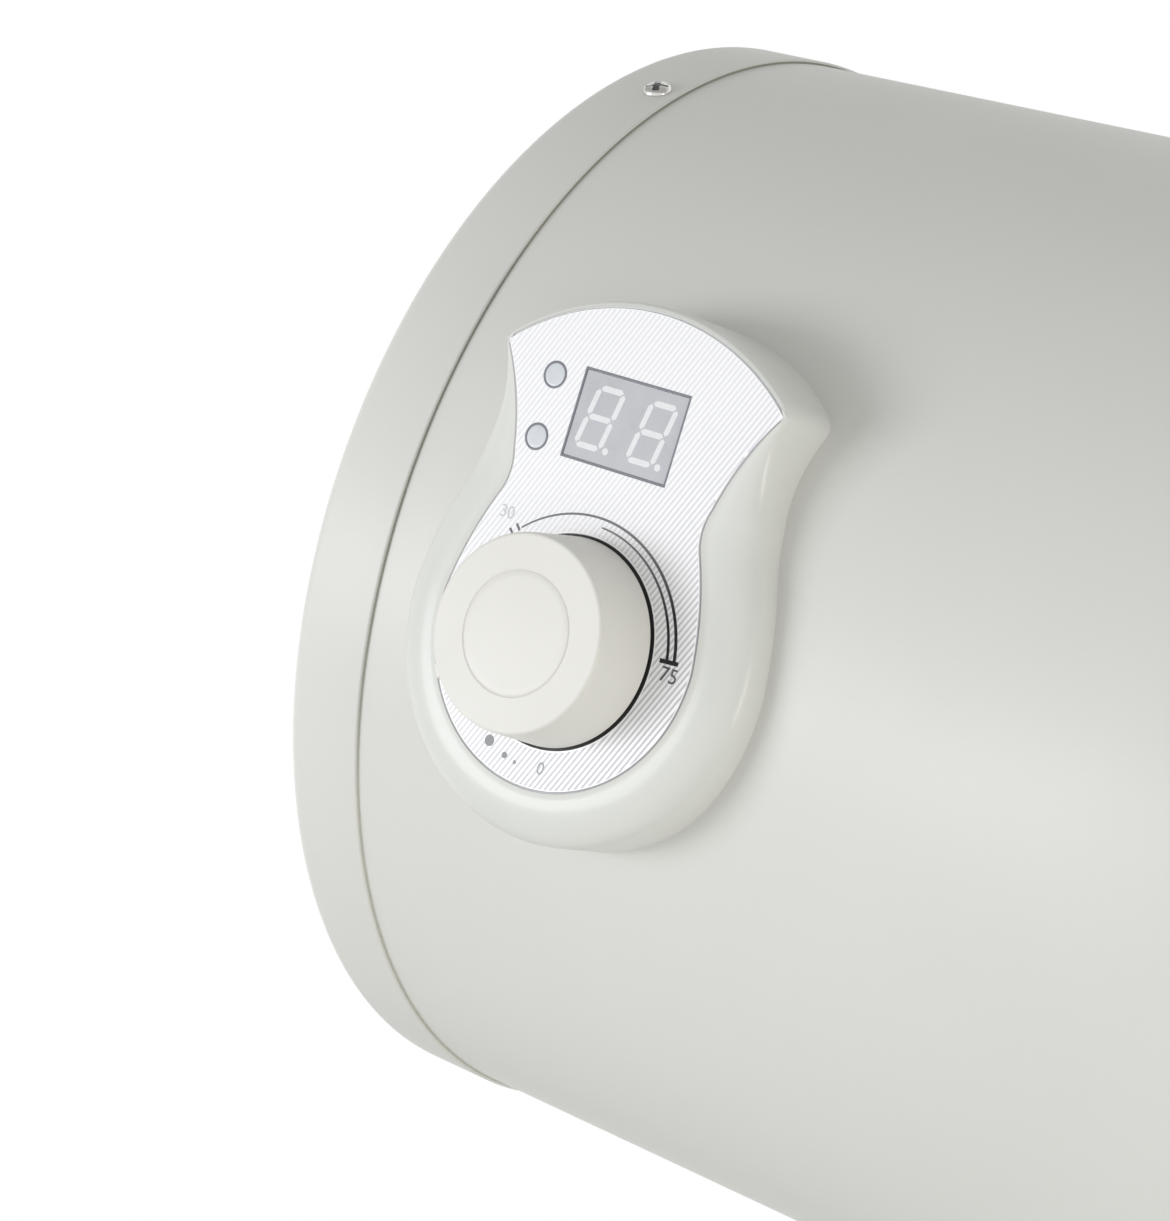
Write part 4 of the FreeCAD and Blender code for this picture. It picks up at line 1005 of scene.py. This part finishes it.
def numeral(name, text, u, v, size, finish):
    """A plain number printed on the faceplate."""
    curve = bpy.data.curves.new(name, "FONT")
    curve.body = text
    curve.size = size * MM
    curve.align_x = "CENTER"
    curve.align_y = "CENTER"
    curve.extrude = print_height * MM / 2
    mesh = baked_mesh(new_object(name + "_text", curve))
    upright = Matrix.Rotation(radians(90.0), 4, "X")
    place = panel_point(u, v, plate_front + print_height / 2) * MM
    mesh.transform(Matrix.Translation(place) @ upright)
    place_mesh(mesh, name, finish, slot="hatched_plate")


panel_housing()
plate_gap()
plate_hatch()
dial_marks()
numeral("number_high", "75", 27.2, -12.2, 4.4, "print_ink_and_recess_shade")
numeral("number_low", "30", -22.5, 8.9, 3.8, "faint_ink")
numeral("number_off", "0", 4.2, -39.0, 3.8, "faint_ink")


# Knob
knob_tall = knob_front - knob_base
knob_lean = (knob_base_radius - knob_front_radius) / knob_tall


def front_loops(profile, u, v, steps):
    """Loops of a profile of (height off the shell, radius) turned about a point of the panel."""
    return turned_loops(profile, panel_point(u, v, 0.0), front_way, (1, 0, 0), steps)


def knob_grip():
    """The hollow knob, with a groove round the seat of its disc."""
    bore = knob_base_radius - knob_wall
    shoulder = knob_front - knob_edge
    profile = [(knob_base, bore), (knob_base, knob_base_radius - knob_chamfer),
               (knob_base + knob_chamfer, knob_base_radius)]
    for k in range(1, knob_rows):
        rise = knob_tall * k / knob_rows
        profile.append((knob_base + rise, knob_base_radius - knob_lean * rise))
    profile.append((shoulder - knob_edge_lead, knob_front_radius + knob_edge_lead * knob_lean))
    profile += arc_points((shoulder, knob_front_radius - knob_edge), knob_edge, *knob_edge_arc)
    profile.append((knob_front, knob_front_radius - knob_edge - knob_edge_lead))
    profile += [(knob_front - depth, disc_radius + beyond) for depth, beyond in knob_seat_rows]
    profile.append((profile[-1][0], 0.0))
    ceiling = knob_front - knob_crown
    under = [(knob_base, bore), (ceiling, knob_front_radius - knob_wall), (ceiling, 0.0)]
    bm = skinned(front_loops(profile, 0.0, knob_v, knob_steps))
    add_loops(bm, front_loops(under, 0.0, knob_v, knob_steps))
    add_pointer(bm)
    finish_mesh(bm, "knob_grip", "knob_plastic", body="knob", stands_for="control_knob",
                slot="ivory_plastic")


def add_pointer(bm):
    """A short rounded rib on the knob's side that shows where it is set."""
    turn = radians(pointer_angle)
    way = Vector((cos(turn), 0.0, sin(turn)))
    side = Vector((-sin(turn), 0.0, cos(turn)))
    start = panel_height + pointer_setback
    stop = knob_front - pointer_setback
    rows = [(start + along, inset) for along, inset in pointer_start_rows]
    rows += [(stop + along, inset) for along, inset in pointer_stop_rows]
    root = knob_front_radius - pointer_root
    loops = []
    for n, inset in rows:
        reach = knob_base_radius + pointer_proud - knob_lean * (n - knob_base) - inset
        width = pointer_width / 2 - inset * pointer_taper
        outline = [(root, -width)] + [(reach - back, -width + off) for back, off in pointer_corner]
        outline += [(r, -s) for r, s in reversed(outline)]
        loops.append([panel_point(0.0, knob_v, n) + way * r + side * s for r, s in outline])
    add_loops(bm, loops, start_cap=True, end_cap=True)


def knob_disc():
    """The thin disc in the middle of the knob's front, slightly crowned."""
    back = knob_front - disc_thick
    bend = knob_front - disc_edge
    flat = disc_radius - disc_edge
    profile = [(back, 0.0), (back, disc_radius - disc_draft), (bend, disc_radius)]
    profile += arc_points((bend, flat), disc_edge, *disc_edge_arc)
    profile += [(knob_front + disc_crown * (1 - share * share) - disc_sink, flat * share)
                for share in disc_shares]
    finish_mesh(skinned(front_loops(profile, 0.0, knob_v, disc_steps)), "knob_disc", "knob_plastic",
                body="knob", stands_for="knob_cap", slot="ivory_plastic")


def knob_felt():
    """A dark ring of painted shade in the well under the knob."""
    bore = knob_base_radius - knob_wall
    radii = (bore, well_radius - well_shade_gaps[0], well_radius - well_shade_gaps[1], bore)
    profile = [(plate_back + height, radius) for height, radius in zip(well_shade_heights, radii)]
    loops = front_loops(profile, 0.0, knob_v, disc_steps)
    # Its dark colour is painted shade in the gap under the knob's edge
    finish_mesh(skinned(loops, ring=True), "knob_felt", "dark_rubber")


knob_grip()
knob_disc()
knob_felt()


# Painted shade round the display's window, and the lamps
def display_surround():
    """A dark line of painted shade round the display's window."""
    outer = display_corners(display_shade_width)
    inner = display_corners(display_shade_lap)
    low, high = (plate_front + height for height in display_shade_heights)
    loops = [[panel_point(u, v, n) for u, v in corners] for corners, n in (
        (outer, low), (outer, high), (inner, high), (inner, low))]
    finish_mesh(skinned(loops, ring=True), "display_surround", "gap_shade_grey", slot="display_grey")


def lamp_lens_piece(node, u, v):
    """A shallow flush lens with a soft edge."""
    back = plate_front - lens_depth
    face = plate_front + lens_proud
    edge = lamp_radius - lens_gap
    profile = [(back, 0.0), (back, lamp_radius - lens_back_gap), (face, edge)]
    for angle in lens_angles:
        turn = radians(angle)
        profile.append((face + lamp_crown * sin(turn), edge * cos(turn) ** lamp_crown_power))
    finish_mesh(skinned(front_loops(profile, u, v, lamp_steps)), node + "_face", "lamp_clear",
                stands_for=node)


# A dark ring of painted shade in the gap round each lamp's lens
def lamp_shade_ring_mesh():
    profile = [(height, lamp_radius + beyond) for height, beyond in ring_section]
    loops = turned_loops(profile, Vector(), (0, 0, 1), (1, 0, 0), lamp_steps)
    return plain_mesh(skinned(loops, ring=True), "lamp_shade_ring", ring_sharp)


display_surround()
for node, place in lamps.items():
    lamp_lens_piece(node, *place)
lamp_places = [(panel_point(u, v, plate_front), front_way) for u, v in lamps.values()]
repeated_piece("lamp_rings", lamp_shade_ring_mesh(), lamp_places, 0.0, "gap_shade_grey", slot="lamp_clear")


# Water pipes with their threads
def water_pipe(node):
    low, high = span(node)
    body_radius = (high.x - low.x) / 2
    crest = body_radius - thread_gap
    end = low.z
    start = Vector(((low.x + high.x) / 2, (low.y + high.y) / 2, 0.0))

    def reach(z, radius, turn):
        along = z - end
        if radius < crest - tip_radius or along > thread_length + pipe_shoulder / 2:
            return radius
        turns = along / thread_pitch - turn / tau
        wave = abs((turns % 1.0) * 2 - 1)
        fade = clamped((thread_length - along) / thread_fade)
        lead_in = max(0.0, pipe_lead_in - along) * pipe_lead_slope
        return radius - thread_depth * wave * fade - lead_in

    rows = int(thread_length / thread_pitch * thread_rows)
    profile = [(end, pipe_bore), (end, crest)]
    profile += [(end + thread_length * k / rows, crest) for k in range(1, rows + 1)]
    profile += [(end + thread_length + pipe_shoulder, body_radius), (high.z, body_radius),
                (high.z, pipe_bore)]
    loops = turned_loops(profile, start, (0, 0, 1), (1, 0, 0), pipe_steps, reach)
    finish_mesh(skinned(loops, ring=True), node + "_threaded", "bare_steel", pipe_sharp, stands_for=node)


for node in ("cold_inlet_pipe", "hot_outlet_pipe"):
    water_pipe(node)


# Finishes of the pieces shown as they come from the frame
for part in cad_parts.values():
    for slot in part.material_slots:
        own = slot.material.name.split(".")[0] if slot.material else ""
        if own in finishes:
            slot.material = finishes[own]


# Floor, light and camera, in metres
floor_corners = ((-0.7, -0.75, -0.45), (0.7, -0.75, -0.45), (0.7, 0.35, -0.45), (-0.7, 0.35, -0.45))
light_above = 0.415
light_below = 0.87
light_behind = 0.5
rise_band = (-0.1, 0.55)
back_band = (-0.1, 0.7)
soft_white = (1.0, 1.0, 0.985)
plain_white = (1.0, 1.0, 1.0)
camera_place = (0.1393, -0.7973, 0.0296)
camera_right = (0.7851, 0.5469, 0.2908)
camera_up = (-0.2724, -0.1167, 0.9551)
camera_lens = 87.66
camera_sensor = 36.0


def pale_floor():
    """A pale floor below the heater, out of the camera's view."""
    mesh = bpy.data.meshes.new("pale_floor")
    mesh.from_pydata(floor_corners, [], [(0, 1, 2, 3)])
    mesh.materials.append(finishes["floor_white"])
    new_object("pale_floor", mesh)


def studio_world():
    """Soft light from below and behind, dim from above, and plain white to the camera."""
    world = bpy.data.worlds.new("studio")
    world.use_nodes = True
    tree = world.node_tree
    tree.nodes.clear()
    way = axis_values(tree, add_node(tree, "ShaderNodeTexCoord").outputs["Generated"])
    rising = ramp_node(tree, way["Z"], *rise_band, "SMOOTHSTEP")
    backing = ramp_node(tree, way["Y"], *back_band, "SMOOTHSTEP")
    glow = math_node(tree, "ADD", math_node(tree, "MULTIPLY", rising, light_above - light_below),
                     math_node(tree, "MULTIPLY", backing, light_behind))
    fed = (("Color", soft_white), ("Strength", math_node(tree, "ADD", glow, light_below)))
    soft = add_node(tree, "ShaderNodeBackground", *fed)
    white = add_node(tree, "ShaderNodeBackground", ("Color", plain_white))
    seen = add_node(tree, "ShaderNodeLightPath").outputs["Is Camera Ray"]
    mix = add_node(tree, "ShaderNodeMixShader", ("Fac", seen), (1, soft), (2, white))
    add_node(tree, "ShaderNodeOutputWorld", ("Surface", mix))
    scene.world = world


def soft_box(name, place, width, tall, watts, color):
    """A soft rectangular light that faces the panel."""
    light = bpy.data.lights.new(name, "AREA")
    light.shape = "RECTANGLE"
    light.size = width
    light.size_y = tall
    light.energy = watts
    light.color = color
    lamp = new_object(name, light)
    lamp.location = place
    way = panel_point(0.0, 0.0, 0.0) * MM - Vector(place)
    lamp.rotation_euler = way.to_track_quat("-Z", "Y").to_euler()


def photo_camera():
    """The photograph's camera, worked out from the casing's and panel's lines."""
    right = Vector(camera_right)
    up = Vector(camera_up)
    camera = bpy.data.cameras.new("photo_camera")
    camera.lens = camera_lens
    camera.sensor_width = camera_sensor
    holder = new_object("photo_camera", camera)
    turn = Matrix((right, up, right.cross(up))).transposed().to_4x4()
    holder.matrix_world = Matrix.Translation(camera_place) @ turn
    scene.camera = holder


pale_floor()
studio_world()
soft_box("front_box", (-1.11, -1.6, -0.34), 0.9, 0.45, 9.9, (0.955, 0.97, 1.0))
soft_box("right_strip", (1.0, -0.42, -0.1), 0.2, 0.5, 2.6, (1.0, 0.96, 0.84))
photo_camera()

scene.view_settings.view_transform = "Standard"
